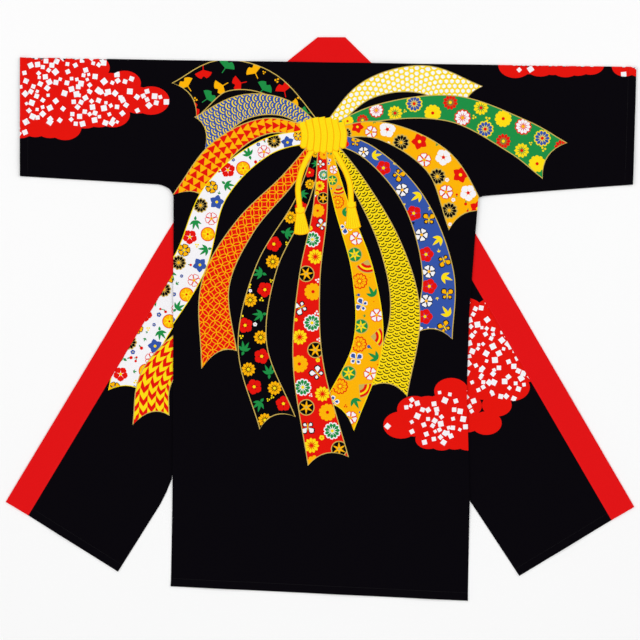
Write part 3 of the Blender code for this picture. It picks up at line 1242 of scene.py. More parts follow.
@dataclass(frozen=True)
class Streamer:
    """A patterned streamer: the places its middle goes through, its widths, end and print.

    dip is how far the middle of its end lies back from the corners, below 0 for a pointed end, and
    slant is how far one corner reaches past the other.
    """

    course: tuple[tuple[float, float], ...]
    ground: Ink
    widths: tuple[float, float] = (0.024, 0.088)
    dip: float = 0.018
    slant: float = 0.0
    second: Ink | None = None
    repeat: Repeat = Repeat.PLAIN
    scatter: Scatter | None = None
    rim: Ink = Ink.GOLD
    rim_width: float = 0.0020
    flare: float = 1.15

    def line(self) -> Points:
        """The streamer's middle line."""
        length = sum(math.dist(a, b) for a, b in zip(self.course, self.course[1:]))
        return smooth_path(self.course, max(8, round(length / 0.014)))

    def width(self, share: Points | float) -> Points:
        """How wide it is at a share of its length."""
        return self.widths[0] + (self.widths[1] - self.widths[0]) * np.asarray(share) ** self.flare

    def outline(self, line: Points, inset: float) -> Points:
        """The streamer's outline.

        Args:
            line: Its middle line.
            inset: How far inside the true outline to stay.

        Returns:
            The points.
        """
        half = self.width(np.linspace(0, 1, len(line))) / 2 - inset
        normals = line_normals(line)
        left, right = line + normals * half[:, None], line - normals * half[:, None]
        ahead = (line[-1] - line[-2]) / np.linalg.norm(line[-1] - line[-2])
        across = np.linspace(-1, 1, 9)
        end = (right[-1] + left[-1]) / 2 + np.outer(across, left[-1] - right[-1]) / 2
        reach = across * self.slant - (1 - across**2) * self.dip - inset
        return np.vstack([right[:-1], end + reach[:, None] * ahead, left[-2::-1]])

    def figure(self, dice: random.Random) -> Figure:
        """The streamer as a printed figure.

        Args:
            dice: The source of its scatter.

        Returns:
            The figure.
        """
        line = self.line()
        figure = Figure(
            cover=[self.outline(line, 0)],
            ground=self.ground,
            rim=self.rim,
            inner=[self.outline(line, self.rim_width)],
            second=self.second,
            repeat=self.repeat,
            course=line,
        )
        if self.scatter:
            self._strew(figure, line, self.scatter, dice)
        return figure

    def _strew(self, figure: Figure, line: Points, scatter: Scatter, dice: random.Random) -> None:
        """Sets large motifs in staggered rows from the knot to the end, then small ones between."""
        length = np.linalg.norm(np.diff(line, axis=0), axis=1).sum()
        normals = line_normals(line)
        taken: list[tuple[Points, float]] = []
        index = np.arange(len(line))

        def place(share: float, side: float) -> Points:
            at = min(share, 1) * (len(line) - 1)
            spot = [np.interp(at, index, column) for column in (*line.T, *normals.T)]
            return np.array(spot[:2]) + np.array(spot[2:]) * side * self.width(min(share, 1)) / 2

        def stamp(spot: Points, size: float, kind: tuple[Motif, str]) -> None:
            taken.append((spot, size))
            angle = dice.uniform(0, TAU)
            for shape, ink in draw(kind[0], INKS[kind[1]]):
                figure.marks.append((turned(shape, angle, spot, size), ink))

        along, number, way = 0.3 * self.widths[0], 0, dice.choice((-1, 1))
        while along < length:
            width = float(self.width(along / length))
            size = min(scatter.size, width * 0.44)
            room = max(0.0, 1 - size / (width / 2) * 0.72)
            side = way * room * dice.uniform(0.75, 1.0)
            kind = scatter.large[number % len(scatter.large)]
            stamp(place(along / length, side), size, kind)
            along += size * scatter.apart * (2.05 - 1.05 * min(1, max(0, width / size / 2 - 1)))
            number, way = number + 1, -way
        for trial in range(scatter.tries if scatter.small else 0):
            spot = place(dice.random() ** 0.7, dice.uniform(-1, 1))
            size = scatter.small_size * dice.uniform(0.75, 1.2)
            if all(np.hypot(*(spot - other)) > (size + radius) * 0.93 for other, radius in taken):
                stamp(spot, size, scatter.small[trial % len(scatter.small)])


@dataclass(frozen=True)
class Cloud:
    """A scalloped cloud of rows of lobes, strewn with small squares as of cut foil.

    rows holds each row's first X, last X, Y and the size of its lobes.
    """

    rows: tuple[tuple[float, float, float, float], ...]
    squares: int
    stretch: float = 1.3
    bare: int = 3

    def figure(self, dice: random.Random) -> Figure:
        """The cloud as a printed figure.

        Args:
            dice: The source of its scatter.

        Returns:
            The figure.
        """
        lobes = []
        for first, last, y, radius in self.rows:
            count = max(1, round(abs(last - first) / radius))
            for x in np.linspace(first, last, count):
                size = radius * dice.uniform(0.95, 1.2)
                lobes.append((x, y + dice.uniform(-0.1, 0.1) * radius, size))
        covers = [arc(r, count=28) * (self.stretch, 1) + (x, y) for x, y, r in lobes]
        figure = Figure(cover=covers, ground=Ink.RED)
        taken: list[tuple[tuple[float, float], float]] = []
        while len(taken) < self.squares:
            x, y, radius = dice.choice(lobes[: -self.bare or None])
            reach, way = radius * 0.84 * math.sqrt(dice.random()), dice.uniform(0, TAU)
            place = (x + self.stretch * reach * math.cos(way), y + reach * math.sin(way))
            size = dice.uniform(0.0045, 0.0090)
            crowded = sum(math.dist(place, other) < (size + half) * 0.85 for other, half in taken)
            if crowded <= (dice.random() < 0.12):
                taken.append((place, size))
                square = turned(arc(size, count=4), dice.uniform(0, TAU), place)
                figure.marks.append((square, Ink.WHITE))
        return figure


KNOT = (0.004, 0.404)

CLOUDS = (
    Cloud(
        rows=(
            (-0.690, -0.500, 0.552, 0.030),
            (-0.650, -0.430, 0.514, 0.027),
            (-0.690, -0.372, 0.480, 0.026),
            (-0.640, -0.455, 0.448, 0.026),
            (-0.690, -0.560, 0.420, 0.024),
        ),
        squares=150,
    ),
    Cloud(rows=((0.425, 0.590, 0.558, 0.024),), squares=9, bare=0),
    Cloud(rows=((0.665, 0.700, 0.553, 0.022),), squares=4, bare=0),
    Cloud(
        rows=(
            (0.285, 0.350, -0.160, 0.026),
            (0.205, 0.350, -0.196, 0.026),
            (0.175, 0.350, -0.230, 0.025),
            (0.235, 0.350, -0.264, 0.023),
        ),
        squares=54,
    ),
)

FRONT_CLOUDS = {
    "right": (
        Cloud(
            rows=(
                (0.320, 0.372, 0.020, 0.026),
                (0.320, 0.398, -0.020, 0.028),
                (0.320, 0.425, -0.062, 0.029),
                (0.320, 0.440, -0.106, 0.028),
                (0.320, 0.418, -0.148, 0.027),
                (0.320, 0.385, -0.188, 0.026),
                (0.320, 0.362, -0.226, 0.024),
            ),
            squares=105,
        ),
    ),
    "left": (),
}

STREAMERS = (
    Streamer(
        course=(KNOT, (-0.105, 0.510), (-0.215, 0.532), (-0.300, 0.478)),
        ground=Ink.BLACK,
        widths=(0.024, 0.094),
        scatter=AUTUMN,
    ),
    Streamer(
        course=(KNOT, (0.100, 0.500), (0.225, 0.524), (0.335, 0.472)),
        ground=Ink.YELLOW,
        widths=(0.024, 0.084),
        repeat=Repeat.HEXAGONS,
        second=Ink.WHITE,
    ),
    Streamer(
        course=(KNOT, (-0.080, 0.462), (-0.175, 0.462), (-0.268, 0.402)),
        ground=Ink.BLUE,
        widths=(0.022, 0.080),
        slant=0.014,
        repeat=Repeat.WAVES,
        second=Ink.YELLOW,
    ),
    Streamer(
        course=(KNOT, (0.130, 0.452), (0.290, 0.460), (0.430, 0.400), (0.512, 0.346)),
        ground=Ink.GREEN,
        widths=(0.024, 0.096),
        scatter=MINT,
    ),
    Streamer(
        course=(KNOT, (-0.120, 0.422), (-0.222, 0.364), (-0.286, 0.262)),
        ground=Ink.AMBER,
        widths=(0.020, 0.076),
        slant=-0.012,
        repeat=Repeat.SCALES,
        second=Ink.RED,
    ),
    Streamer(
        course=(KNOT, (0.130, 0.412), (0.258, 0.342), (0.322, 0.214)),
        ground=Ink.AMBER,
        widths=(0.022, 0.094),
        scatter=SUNSET,
    ),
    Streamer(
        course=(KNOT, (-0.122, 0.375), (-0.232, 0.275), (-0.288, 0.120), (-0.380, -0.010)),
        ground=Ink.WHITE,
        widths=(0.026, 0.098),
        rim=Ink.YELLOW,
        scatter=MEADOW,
    ),
    Streamer(
        course=(KNOT, (0.108, 0.362), (0.205, 0.255), (0.256, 0.100), (0.244, -0.040)),
        ground=Ink.BLUE,
        widths=(0.024, 0.088),
        scatter=RIVER,
    ),
    Streamer(
        course=(KNOT, (-0.072, 0.305), (-0.168, 0.200), (-0.232, 0.070), (-0.222, -0.090)),
        ground=Ink.RED,
        widths=(0.022, 0.082),
        slant=-0.016,
        repeat=Repeat.RINGS,
        second=Ink.AMBER,
    ),
    Streamer(
        course=(KNOT, (0.078, 0.302), (0.152, 0.160), (0.184, 0.010), (0.146, -0.160)),
        ground=Ink.YELLOW,
        widths=(0.022, 0.088),
        repeat=Repeat.WAVES,
        second=Ink.BLACK,
    ),
    Streamer(
        course=(KNOT, (-0.042, 0.258), (-0.120, 0.110), (-0.150, -0.060), (-0.095, -0.228)),
        ground=Ink.BLACK,
        widths=(0.020, 0.084),
        scatter=NIGHT,
    ),
    Streamer(
        course=(KNOT, (0.044, 0.252), (0.092, 0.100), (0.102, -0.060), (0.038, -0.215)),
        ground=Ink.WHITE,
        widths=(0.020, 0.086),
        slant=0.014,
        rim=Ink.YELLOW,
        scatter=PALACE,
    ),
    Streamer(
        course=(KNOT, (-0.002, 0.240), (-0.026, 0.080), (-0.028, -0.100), (0.016, -0.312)),
        ground=Ink.RED,
        widths=(0.020, 0.092),
        scatter=FESTIVAL,
    ),
)

FRONT_STREAMERS = {
    "left": (
        Streamer(
            course=((-0.270, 0.120), (-0.345, 0.025), (-0.400, -0.070), (-0.420, -0.165)),
            ground=Ink.WHITE,
            widths=(0.078, 0.094),
            rim=Ink.YELLOW,
            scatter=MEADOW,
        ),
        Streamer(
            course=((-0.250, -0.020), (-0.320, -0.075), (-0.365, -0.140), (-0.372, -0.222)),
            ground=Ink.RED,
            widths=(0.060, 0.080),
            slant=-0.012,
            repeat=Repeat.ARROWS,
            second=Ink.YELLOW,
        ),
    ),
    "right": (),
}


@dataclass(frozen=True)
class Cord:
    """A yellow cord wound round the streamers, with two tasselled ends."""

    strands: int = 7
    pitch: float = 0.0142
    height: float = 0.038
    ends: tuple[tuple[tuple[float, float], ...], ...] = (
        ((0.000, 0.396), (-0.034, 0.345), (-0.050, 0.292), (-0.046, 0.240)),
        ((0.008, 0.396), (0.040, 0.350), (0.062, 0.300), (0.066, 0.252)),
    )
    width: float = 0.0125
    tassel: float = 0.052

    def _band(self, places: Sequence[tuple[float, float]], widths: tuple[float, float]) -> Figure:
        """A short plain band through some places."""
        band = Streamer(
            course=tuple(places), ground=Ink.YELLOW, widths=widths, dip=-0.004, rim=Ink.AMBER, flare=1.0
        )
        return band.figure(random.Random(0))

    def figures(self) -> list[Figure]:
        """The cord's figures, lowest first: its ends, their tassels, then the winding."""
        figures = []
        for end in self.ends:
            figures.append(self._band(end, (self.width, self.width)))
            ahead = np.subtract(end[-1], end[-2]) / math.dist(end[-1], end[-2])
            foot = np.asarray(end[-1]) + ahead * self.tassel
            skirt = self._band([end[-1], foot], (self.width * 1.3, self.width * 2.8))
            side = np.array([-ahead[1], ahead[0]])
            for lean in (-0.7, -0.35, 0, 0.35, 0.7):
                low = foot + side * self.width * 1.25 * lean
                high = np.asarray(end[-1]) + side * self.width * 0.5 * lean + ahead * 0.008
                strip = np.array([low + side * 0.0006, high, low - side * 0.0006])
                skirt.marks.append((strip, Ink.AMBER))
            figures.append(skirt)
            figures.append(self._band([end[-1] - ahead * 0.004, end[-1] + ahead * 0.006], (0.021, 0.021)))
        middle = (self.strands - 1) / 2
        for i in range(self.strands):
            x = KNOT[0] + (i - middle) * self.pitch
            arch = self.height - 0.0012 * abs(i - middle) ** 2
            places = [(x - 0.003, KNOT[1] + arch), (x + 0.003, KNOT[1]), (x, KNOT[1] - arch)]
            figures.append(self._band(places, (self.pitch * 1.12, self.pitch * 1.12)))
        return figures


def divide(
    shapes: Sequence[Points], inner: Points, exact: float = 2e-6
) -> tuple[Points, Points, list[list[int]], dict[int, int]]:
    """Divides the first shape into triangles that follow the outlines of all the others.

    Args:
        shapes: Outlines; the first holds what is kept.
        inner: Further points to use.
        exact: How near two points are one.

    Returns:
        The points, the triangles, the other shapes that each triangle is in, counted from 0, and
        the new number of each given point.
    """
    shapes = [counterclockwise(shape) for shape in shapes]
    starts = np.cumsum([0, *[len(shape) for shape in shapes]]).tolist()
    loops = [list(range(a, b)) for a, b in zip(starts, starts[1:])]
    points = [Vector(p) for p in np.vstack([*shapes, inner])]
    found = delaunay_2d_cdt(points, [], loops, 1, exact, True)
    kept = [(t, [i - 1 for i in ids if i]) for t, ids in zip(found[2], found[5]) if 0 in ids]
    used, renumbered = np.unique(np.array([t for t, _ in kept]), return_inverse=True)
    number = {old: new for new, old in enumerate(used.tolist())}
    partner = {
        old: number[i] for i, olds in enumerate(found[3]) if i in number for old in olds
    }
    plan = np.array([tuple(found[0][i]) for i in used])
    return plan, renumbered.reshape(-1, 3), [owner for _, owner in kept], partner


@dataclass
class PrintMap:
    """A panel's flat cut divided into triangles, each wholly inside one colour."""

    points: Points
    triangles: Points
    ground: Points
    second: Points
    repeat: Points
    course: Points


class Printer:
    """Divides a panel's flat cut along the outlines of the figures printed on it."""

    def __init__(self, sheet: Sheet, figures: Sequence[Figure]) -> None:
        """Keeps the panel with the figures that reach it.

        Args:
            sheet: The panel.
            figures: The figures, lowest first.
        """
        self.outline = sheet.outline()
        self.inner = sheet.inner_points()
        low, high = self.outline.min(axis=0), self.outline.max(axis=0)
        self.figures = []
        for figure in figures:
            extent = np.vstack(figure.cover)
            if (extent.max(axis=0) > low).all() and (extent.min(axis=0) < high).all():
                self.figures.append(figure)
        self.low, self.high = low, high

    def _faces(self) -> list[tuple[Points, int, str, Ink | None]]:
        """All outlines with their figure's number, their part in it and their ink."""
        faces = []
        for number, figure in enumerate(self.figures):
            faces += [(shape, number, "cover", figure.ground) for shape in figure.cover]
            faces += [(shape, number, "inner", figure.ground) for shape in figure.inner]
            for shape, ink in figure.marks:
                if (shape.max(axis=0) > self.low).all() and (shape.min(axis=0) < self.high).all():
                    faces.append((shape, number, "mark", ink))
        return faces

    def run(self) -> PrintMap:
        """Divides the cut and gives each triangle its inks.

        Returns:
            The divided cut.
        """
        faces = self._faces()
        shapes = [self.outline, *[face[0] for face in faces]]
        plan, triangles, owners, _ = divide(shapes, self.inner)
        return self._ink(plan, triangles, faces, owners)

    def _ink(
        self, plan: Points, triangles: Points, faces: list, owners: list[list[int]]
    ) -> PrintMap:
        """Gives each triangle the ink of the highest outline of the highest figure over it."""
        ground = np.tile(linear(Ink.BLACK), (len(triangles), 1))
        second = ground.copy()
        repeat = np.zeros(len(triangles))
        course = np.zeros((len(triangles), 3, 2))
        by_figure = {}
        for index, ids in enumerate(owners):
            covers = [faces[i][1] for i in ids if faces[i][2] == "cover"]
            if not covers:
                continue
            number = max(covers)
            figure = self.figures[number]
            own = [i for i in ids if faces[i][1] == number]
            marks = [i for i in own if faces[i][2] == "mark"]
            if figure.rim and not any(faces[i][2] == "inner" for i in own):
                ground[index] = second[index] = linear(figure.rim)
            elif marks:
                ground[index] = second[index] = linear(faces[max(marks)][3])
            else:
                ground[index] = linear(figure.ground)
                second[index] = linear(figure.second or figure.ground)
                if figure.second:
                    repeat[index] = figure.repeat.value
                    by_figure.setdefault(number, []).append(index)
        for number, members in by_figure.items():
            line = self.figures[number].course
            corners = plan[triangles[members]].reshape(-1, 2)
            course[members] = along_line(corners, line).reshape(-1, 3, 2)
        return PrintMap(plan, triangles, ground, second, repeat, course)


def along_line(points: Points, line: Points) -> Points:
    """How far along a line points lie, and how far to its left.

    Args:
        points: The points.
        line: The line's points.

    Returns:
        The two distances for each point.
    """
    run = np.diff(line, axis=0)
    length = np.linalg.norm(run, axis=1)
    starts = np.concatenate(([0], np.cumsum(length)[:-1]))
    unit = run / length[:, None]
    normals = line_normals(line)
    best = np.full(len(points), np.inf)
    found = np.zeros((len(points), 2))
    for i in range(len(run)):
        moved = points - line[i]
        share = np.clip((moved @ unit[i]) / length[i], 0, 1)
        foot = line[i] + share[:, None] * run[i]
        away = np.linalg.norm(points - foot, axis=1)
        closer = away < best
        normal = normals[i] * (1 - share)[:, None] + normals[i + 1] * share[:, None]
        side = np.sum((points - foot) * normal, axis=1)
        best = np.where(closer, away, best)
        found[closer] = np.stack([starts[i] + share * length[i], side], axis=1)[closer]
    return found


def make_object(name: str, vertices: Points, faces: list, material: bpy.types.Material) -> bpy.types.Object:
    """Makes a mesh object with smooth faces and sharp edges where it turns a corner.

    Args:
        name: The object's name.
        vertices: Its points.
        faces: Its faces as lists of point numbers.
        material: Its material.

    Returns:
        The object.
    """
    mesh = bpy.data.meshes.new(name)
    mesh.from_pydata(vertices.tolist(), [], faces)
    mesh.shade_smooth()
    mesh.set_sharp_from_angle(angle=math.radians(45))
    mesh.materials.append(material)
    made = bpy.data.objects.new(name, mesh)
    bpy.context.collection.objects.link(made)
    return made


def border(triangles: Points) -> list[int]:
    """The points round the edge of a triangulated area, in order.

    Args:
        triangles: Its triangles, all turned the same way.

    Returns:
        The points' numbers.
    """
    edges = {edge for a, b, c in triangles.tolist() for edge in ((a, b), (b, c), (c, a))}
    after = {a: b for a, b in edges if (b, a) not in edges}
    loop = [min(after)]
    while after[loop[-1]] != loop[0]:
        loop.append(after[loop[-1]])
    return loop


class PrintedPanel:
    """A panel of printed cloth, closed all round, lying where its sheet says."""

    def __init__(self, sheet: Sheet, figures: Sequence[Figure]) -> None:
        """Keeps the panel with its print.

        Args:
            sheet: The panel.
            figures: The figures, lowest first.
        """
        self.sheet = sheet
        self.figures = figures

    def build(self, material: bpy.types.Material) -> bpy.types.Object:
        """Makes the panel's mesh with its print in attributes.

        Args:
            material: The printed cloth.

        Returns:
            The object.
        """
        sheet = self.sheet
        map_ = Printer(sheet, self.figures).run()
        loop = border(map_.triangles)
        plain = map_.points[loop]
        lining, triangles, _, partner = divide([plain], sheet.inner_points())
        count = len(map_.points)
        rims = []
        for i, a in enumerate(loop):
            j = (i + 1) % len(loop)
            rims.append([loop[j], a, partner[i] + count, partner[j] + count])
        bottom = (triangles[:, ::-1] + count).tolist()
        vertices = np.vstack([sheet.lift(map_.points)[0], sheet.lift(lining)[1]])
        vertices = sheet.layout.creased(vertices)
        faces = map_.triangles.tolist() + bottom + rims
        made = make_object(sheet.name, vertices, faces, material)
        self._paint(made.data, map_, np.vstack([map_.points, lining]))
        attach(made, "root")
        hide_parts(sheet.node)
        return made

    def _paint(self, mesh: bpy.types.Mesh, map_: PrintMap, places: Points) -> None:
        """Writes the inks, the repeats and the cloth's own thread directions on the mesh."""
        shown = len(map_.triangles) * 3
        total = len(mesh.loops)
        black = np.tile(linear(Ink.BLACK), (total, 1))
        for name, inks in (("ground", map_.ground), ("second", map_.second)):
            values = black.copy()
            values[:shown] = np.repeat(inks, 3, axis=0)
            layer = mesh.color_attributes.new(name, "FLOAT_COLOR", "CORNER")
            layer.data.foreach_set("color", values.ravel())
        kinds = np.zeros(total)
        kinds[:shown] = np.repeat(map_.repeat, 3)
        mesh.attributes.new("repeat", "FLOAT", "CORNER").data.foreach_set("value", kinds)
        course = np.zeros((total, 2))
        course[:shown] = map_.course.reshape(-1, 2)
        mesh.uv_layers.new(name="course").data.foreach_set("uv", course.ravel())
        owners = np.empty(total, dtype=int)
        mesh.loops.foreach_get("vertex_index", owners)
        plan = places[owners]
        c, s = math.cos(-self.sheet.grain), math.sin(-self.sheet.grain)
        threads = plan @ np.array([[c, s], [-s, c]])
        mesh.uv_layers.new(name="threads").data.foreach_set("uv", threads.ravel())


class CollarBand:
    """The collar: a doubled red band round the neck and down both fronts."""

    steps_per_leg = 120
    steps_per_corner = 8
    rows = 9
    turn_steps = 9
    rounding = 0.0006
    edge_in = 0.0012
    row_start = 0.004
    row_end = 0.003

    def __init__(self, layout: Layout) -> None:
        """Keeps the layout with the collar's two edges.

        Args:
            layout: The heights and edges of the whole garment.
        """
        self.layout = layout

    def _section(self) -> list[tuple[float, float]]:
        """The band's section: distance in from its outer edge, and height."""
        width, high = self.layout.cut.collar_width, COLLAR_CLOTH
        turn = np.linspace(-QUARTER, QUARTER, self.turn_steps)
        outer = [(high / 2 * (1 - math.cos(t)), high / 2 * (1 + math.sin(t))) for t in turn]
        soft = self.rounding
        inner = [(width - self.edge_in, high), (width - soft / 3, high - soft / 3), (width, high - soft)]
        across = np.linspace(self.row_start, width - self.row_end, self.rows)
        top = [(a, high) for a in across]
        return [*outer, *top, *inner, (width, 0.0), *[(a, 0.0) for a in across[::-2]]]

    def build(self, material: bpy.types.Material) -> bpy.types.Object:
        """Makes the band's mesh.

        Args:
            material: The red cloth.

        Returns:
            The object.
        """
        layout, section = self.layout, self._section()
        outer, inner = layout.collar_outer, layout.collar_inner
        legs = layout.cut.leg_steps
        stops = [0, legs, legs + 1, legs + 2, legs + 3, len(outer) - 1]
        steps = [self.steps_per_leg, *[self.steps_per_corner] * 3, self.steps_per_leg]
        fine = []
        for low, high, count in zip(stops, stops[1:], steps):
            t = np.linspace(low, high, count + 1)[: None if high == stops[-1] else -1]
            fine.append(t)
        at = np.concatenate(fine)
        index = np.arange(len(outer))
        lines = [
            np.stack([np.interp(at, index, line[:, 0]), np.interp(at, index, line[:, 1])], axis=1)
            for line in (outer, inner)
        ]
        width = layout.cut.collar_width
        rings = [
            np.column_stack([lines[0] + (lines[1] - lines[0]) * (a / width), np.full(len(at), z)])
            for a, z in section
        ]
        vertices = layout.creased(np.stack(rings, axis=1).reshape(-1, 3))
        n = len(section)
        faces = []
        for i in range(len(at) - 1):
            for j in range(n):
                k = (j + 1) % n
                faces.append([i * n + j, i * n + k, (i + 1) * n + k, (i + 1) * n + j])
        faces.append(list(range(n))[::-1])
        faces.append([(len(at) - 1) * n + j for j in range(n)])
        made = make_object("collar_band", vertices, faces, material)
        self._threads(made.data, at, n)
        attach(made, "root")
        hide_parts("collar")
        return made

    def _threads(self, mesh: bpy.types.Mesh, at: Points, n: int) -> None:
        """Writes the band's own thread directions on the mesh."""
        outer = self.layout.collar_outer
        runs = np.concatenate(([0], np.cumsum(np.linalg.norm(np.diff(outer, axis=0), axis=1))))
        along = np.interp(at, np.arange(len(outer)), runs)
        across = np.array([a for a, _ in self._section()])
        owners = np.empty(len(mesh.loops), dtype=int)
        mesh.loops.foreach_get("vertex_index", owners)
        uv = np.stack([across[owners % n], along[owners // n]], axis=1)
        mesh.uv_layers.new(name="threads").data.foreach_set("uv", uv.ravel())


class Field:
    """A number that varies over a surface, written as a formula of shader nodes."""

    def __init__(self, tree: bpy.types.NodeTree, socket: bpy.types.NodeSocket) -> None:
        """Keeps the socket that gives the number."""
        self.tree = tree
        self.socket = socket

    def math(self, kind: str, *others: "Field | float") -> "Field":
        """Adds a Math node fed by this number and others.

        Args:
            kind: The node's operation.
            others: The further inputs.

        Returns:
            The node's result.
        """
        node = self.tree.nodes.new("ShaderNodeMath")
        node.operation = kind
        for slot, value in zip(node.inputs, (self, *others)):
            if isinstance(value, Field):
                self.tree.links.new(value.socket, slot)
            else:
                slot.default_value = value
        return Field(self.tree, node.outputs[0])

    def __add__(self, other: "Field | float") -> "Field":
        """The sum."""
        return self.math("ADD", other)

    def __sub__(self, other: "Field | float") -> "Field":
        """The difference."""
        return self.math("SUBTRACT", other)

    def __mul__(self, other: "Field | float") -> "Field":
        """The product."""
        return self.math("MULTIPLY", other)

    def __truediv__(self, other: "Field | float") -> "Field":
        """The quotient."""
        return self.math("DIVIDE", other)

    def __mod__(self, other: float) -> "Field":
        """What is left over a whole number of steps, never below 0."""
        return self.math("FLOORED_MODULO", other)

    def __abs__(self) -> "Field":
        """The size without its sign."""
        return self.math("ABSOLUTE")

    def under(self, other: "Field | float") -> "Field":
        """1 where this is less than the other, else 0."""
        return self.math("LESS_THAN", other)

    def floor(self) -> "Field":
        """The whole number below."""
        return self.math("FLOOR")

    def root(self) -> "Field":
        """The square root."""
        return self.math("SQRT")

    def either(self, other: "Field") -> "Field":
        """The larger."""
        return self.math("MAXIMUM", other)

    def pick(self, yes: "Field", no: "Field") -> "Field":
        """yes where this is 1, no where it is 0."""
        return no + self * (yes - no)


def ripple(value: Field, period: float) -> Field:
    """The distance to the nearest multiple of a period.

    Args:
        value: Where to measure.
        period: The distance between multiples.

    Returns:
        The distance.
    """
    return abs((value + period / 2) % period - period / 2)


def waves(u: Field, v: Field) -> Field:
    """Seigaiha: rows of overlapping scales drawn in rings."""
    width, reach = 0.028, 0.014
    step = reach / 2
    row = (u / step).floor()

    def distance(shift: int) -> Field:
        at = row + float(shift)
        side = v - (at % 2.0) * (width / 2)
        across, along = ripple(side, width), u - at * step
        return (across * across + along * along).root()

    near, middle, far = distance(-1), distance(0), distance(1)
    shown = near.under(reach).pick(near, middle.under(reach).pick(middle, far))
    return ((shown / reach * 2.5 + 0.5) % 1.0).under(0.42)


def hexagons(u: Field, v: Field) -> Field:
    """Kikko: a honeycomb, filled inside its lines."""
    wide, tall = 0.0120, 0.0120 * math.sqrt(3)

    def cell(shift: float) -> tuple[Field, Field]:
        return ripple(v + wide * shift, wide), ripple(u + tall * shift, tall)

    (ax, ay), (bx, by) = cell(0.0), cell(0.5)
    nearer = (ax * ax + ay * ay).under(bx * bx + by * by)
    x, y = nearer.pick(ax, bx), nearer.pick(ay, by)
    reach = x.either(x * 0.5 + y * (math.sqrt(3) / 2))
    return reach.under(wide * 0.34)


def rings(u: Field, v: Field) -> Field:
    """Shippo: interlaced rings drawn in lines."""
    size, line = 0.0125, 0.00075
    x, y = ripple(u, 2 * size), ripple(v, 2 * size)

    def arc(a: Field, b: Field) -> Field:
        return abs((a * a + b * b).root() - size).under(line)

    far_x, far_y = x * -1.0 + size, y * -1.0 + size
    return arc(x, y).either(arc(far_x, far_y))


def scales(u: Field, v: Field) -> Field:
    """Uroko: rows of triangles."""
    tall, wide = 0.016, 0.018
    return ripple(v, wide).under((u % tall) * (wide / tall / 2))


def arrows(u: Field, v: Field) -> Field:
    """Yagasuri: columns of arrow feathers."""
    column, period = 0.018, 0.026
    lean = ripple(v, column) * 1.4
    which = ((v / column + 0.5).floor() % 2.0) * (period / 2)
    return ((u + lean + which) % period).under(period / 2)


DRAWN = {
    Repeat.WAVES: waves,
    Repeat.HEXAGONS: hexagons,
    Repeat.RINGS: rings,
    Repeat.SCALES: scales,
    Repeat.ARROWS: arrows,
}


class Graph:
    """A material's nodes, with short ways to add what cloth needs."""

    def __init__(self, name: str) -> None:
        """Makes a material and finds its shader.

        Args:
            name: The material's name.
        """
        self.material = bpy.data.materials.new(name)
        self.material.use_nodes = True
        self.tree = self.material.node_tree
        self.shader = self.tree.nodes["Principled BSDF"]

    def node(self, kind: str, **values: object) -> bpy.types.Node:
        """Adds a node.

        Args:
            kind: The node's type.
            values: Its properties.

        Returns:
            The node.
        """
        node = self.tree.nodes.new(kind)
        for name, value in values.items():
            setattr(node, name, value)
        return node

    def feed(self, node: bpy.types.Node, **inputs: object) -> bpy.types.Node:
        """Sets or links a node's inputs by name, with _ for a space.

        Args:
            node: The node.
            inputs: Sockets, fields or plain values.

        Returns:
            The node.
        """
        for name, value in inputs.items():
            slot = node.inputs[name.replace("_", " ")]
            value = value.socket if isinstance(value, Field) else value
            if isinstance(value, bpy.types.NodeSocket):
                self.tree.links.new(value, slot)
            else:
                slot.default_value = value
        return node

    def two(self, uv_map: str) -> tuple[Field, Field]:
        """The two numbers of a UV map.

        Args:
            uv_map: Its name.

        Returns:
            Both numbers.
        """
        uv = self.node("ShaderNodeUVMap", uv_map=uv_map)
        parts = self.feed(self.node("ShaderNodeSeparateXYZ"), Vector=uv.outputs[0])
        return Field(self.tree, parts.outputs[0]), Field(self.tree, parts.outputs[1])

    def noise(self, uv_map: str, scale: float, detail: float = 2.0) -> Field:
        """Even noise on a UV map.

        Args:
            uv_map: The map's name.
            scale: Waves per metre.
            detail: How many finer layers it has.

        Returns:
            The noise, 0 to 1.
        """
        uv = self.node("ShaderNodeUVMap", uv_map=uv_map)
        noise = self.node("ShaderNodeTexNoise")
        self.feed(noise, Vector=uv.outputs[0], Scale=scale, Detail=detail)
        return Field(self.tree, noise.outputs[0])

    def blend(self, share: Field, first: object, second: object) -> bpy.types.NodeSocket:
        """Mixes two colours.

        Args:
            share: How much of the second.
            first: The first colour or socket.
            second: The second colour or socket.

        Returns:
            The mixed colour.
        """
        node = self.node("ShaderNodeMix", data_type="RGBA")
        self.tree.links.new(share.socket, node.inputs[0])
        for slot, value in ((node.inputs[6], first), (node.inputs[7], second)):
            if isinstance(value, bpy.types.NodeSocket):
                self.tree.links.new(value, slot)
            else:
                slot.default_value = value
        return node.outputs[2]


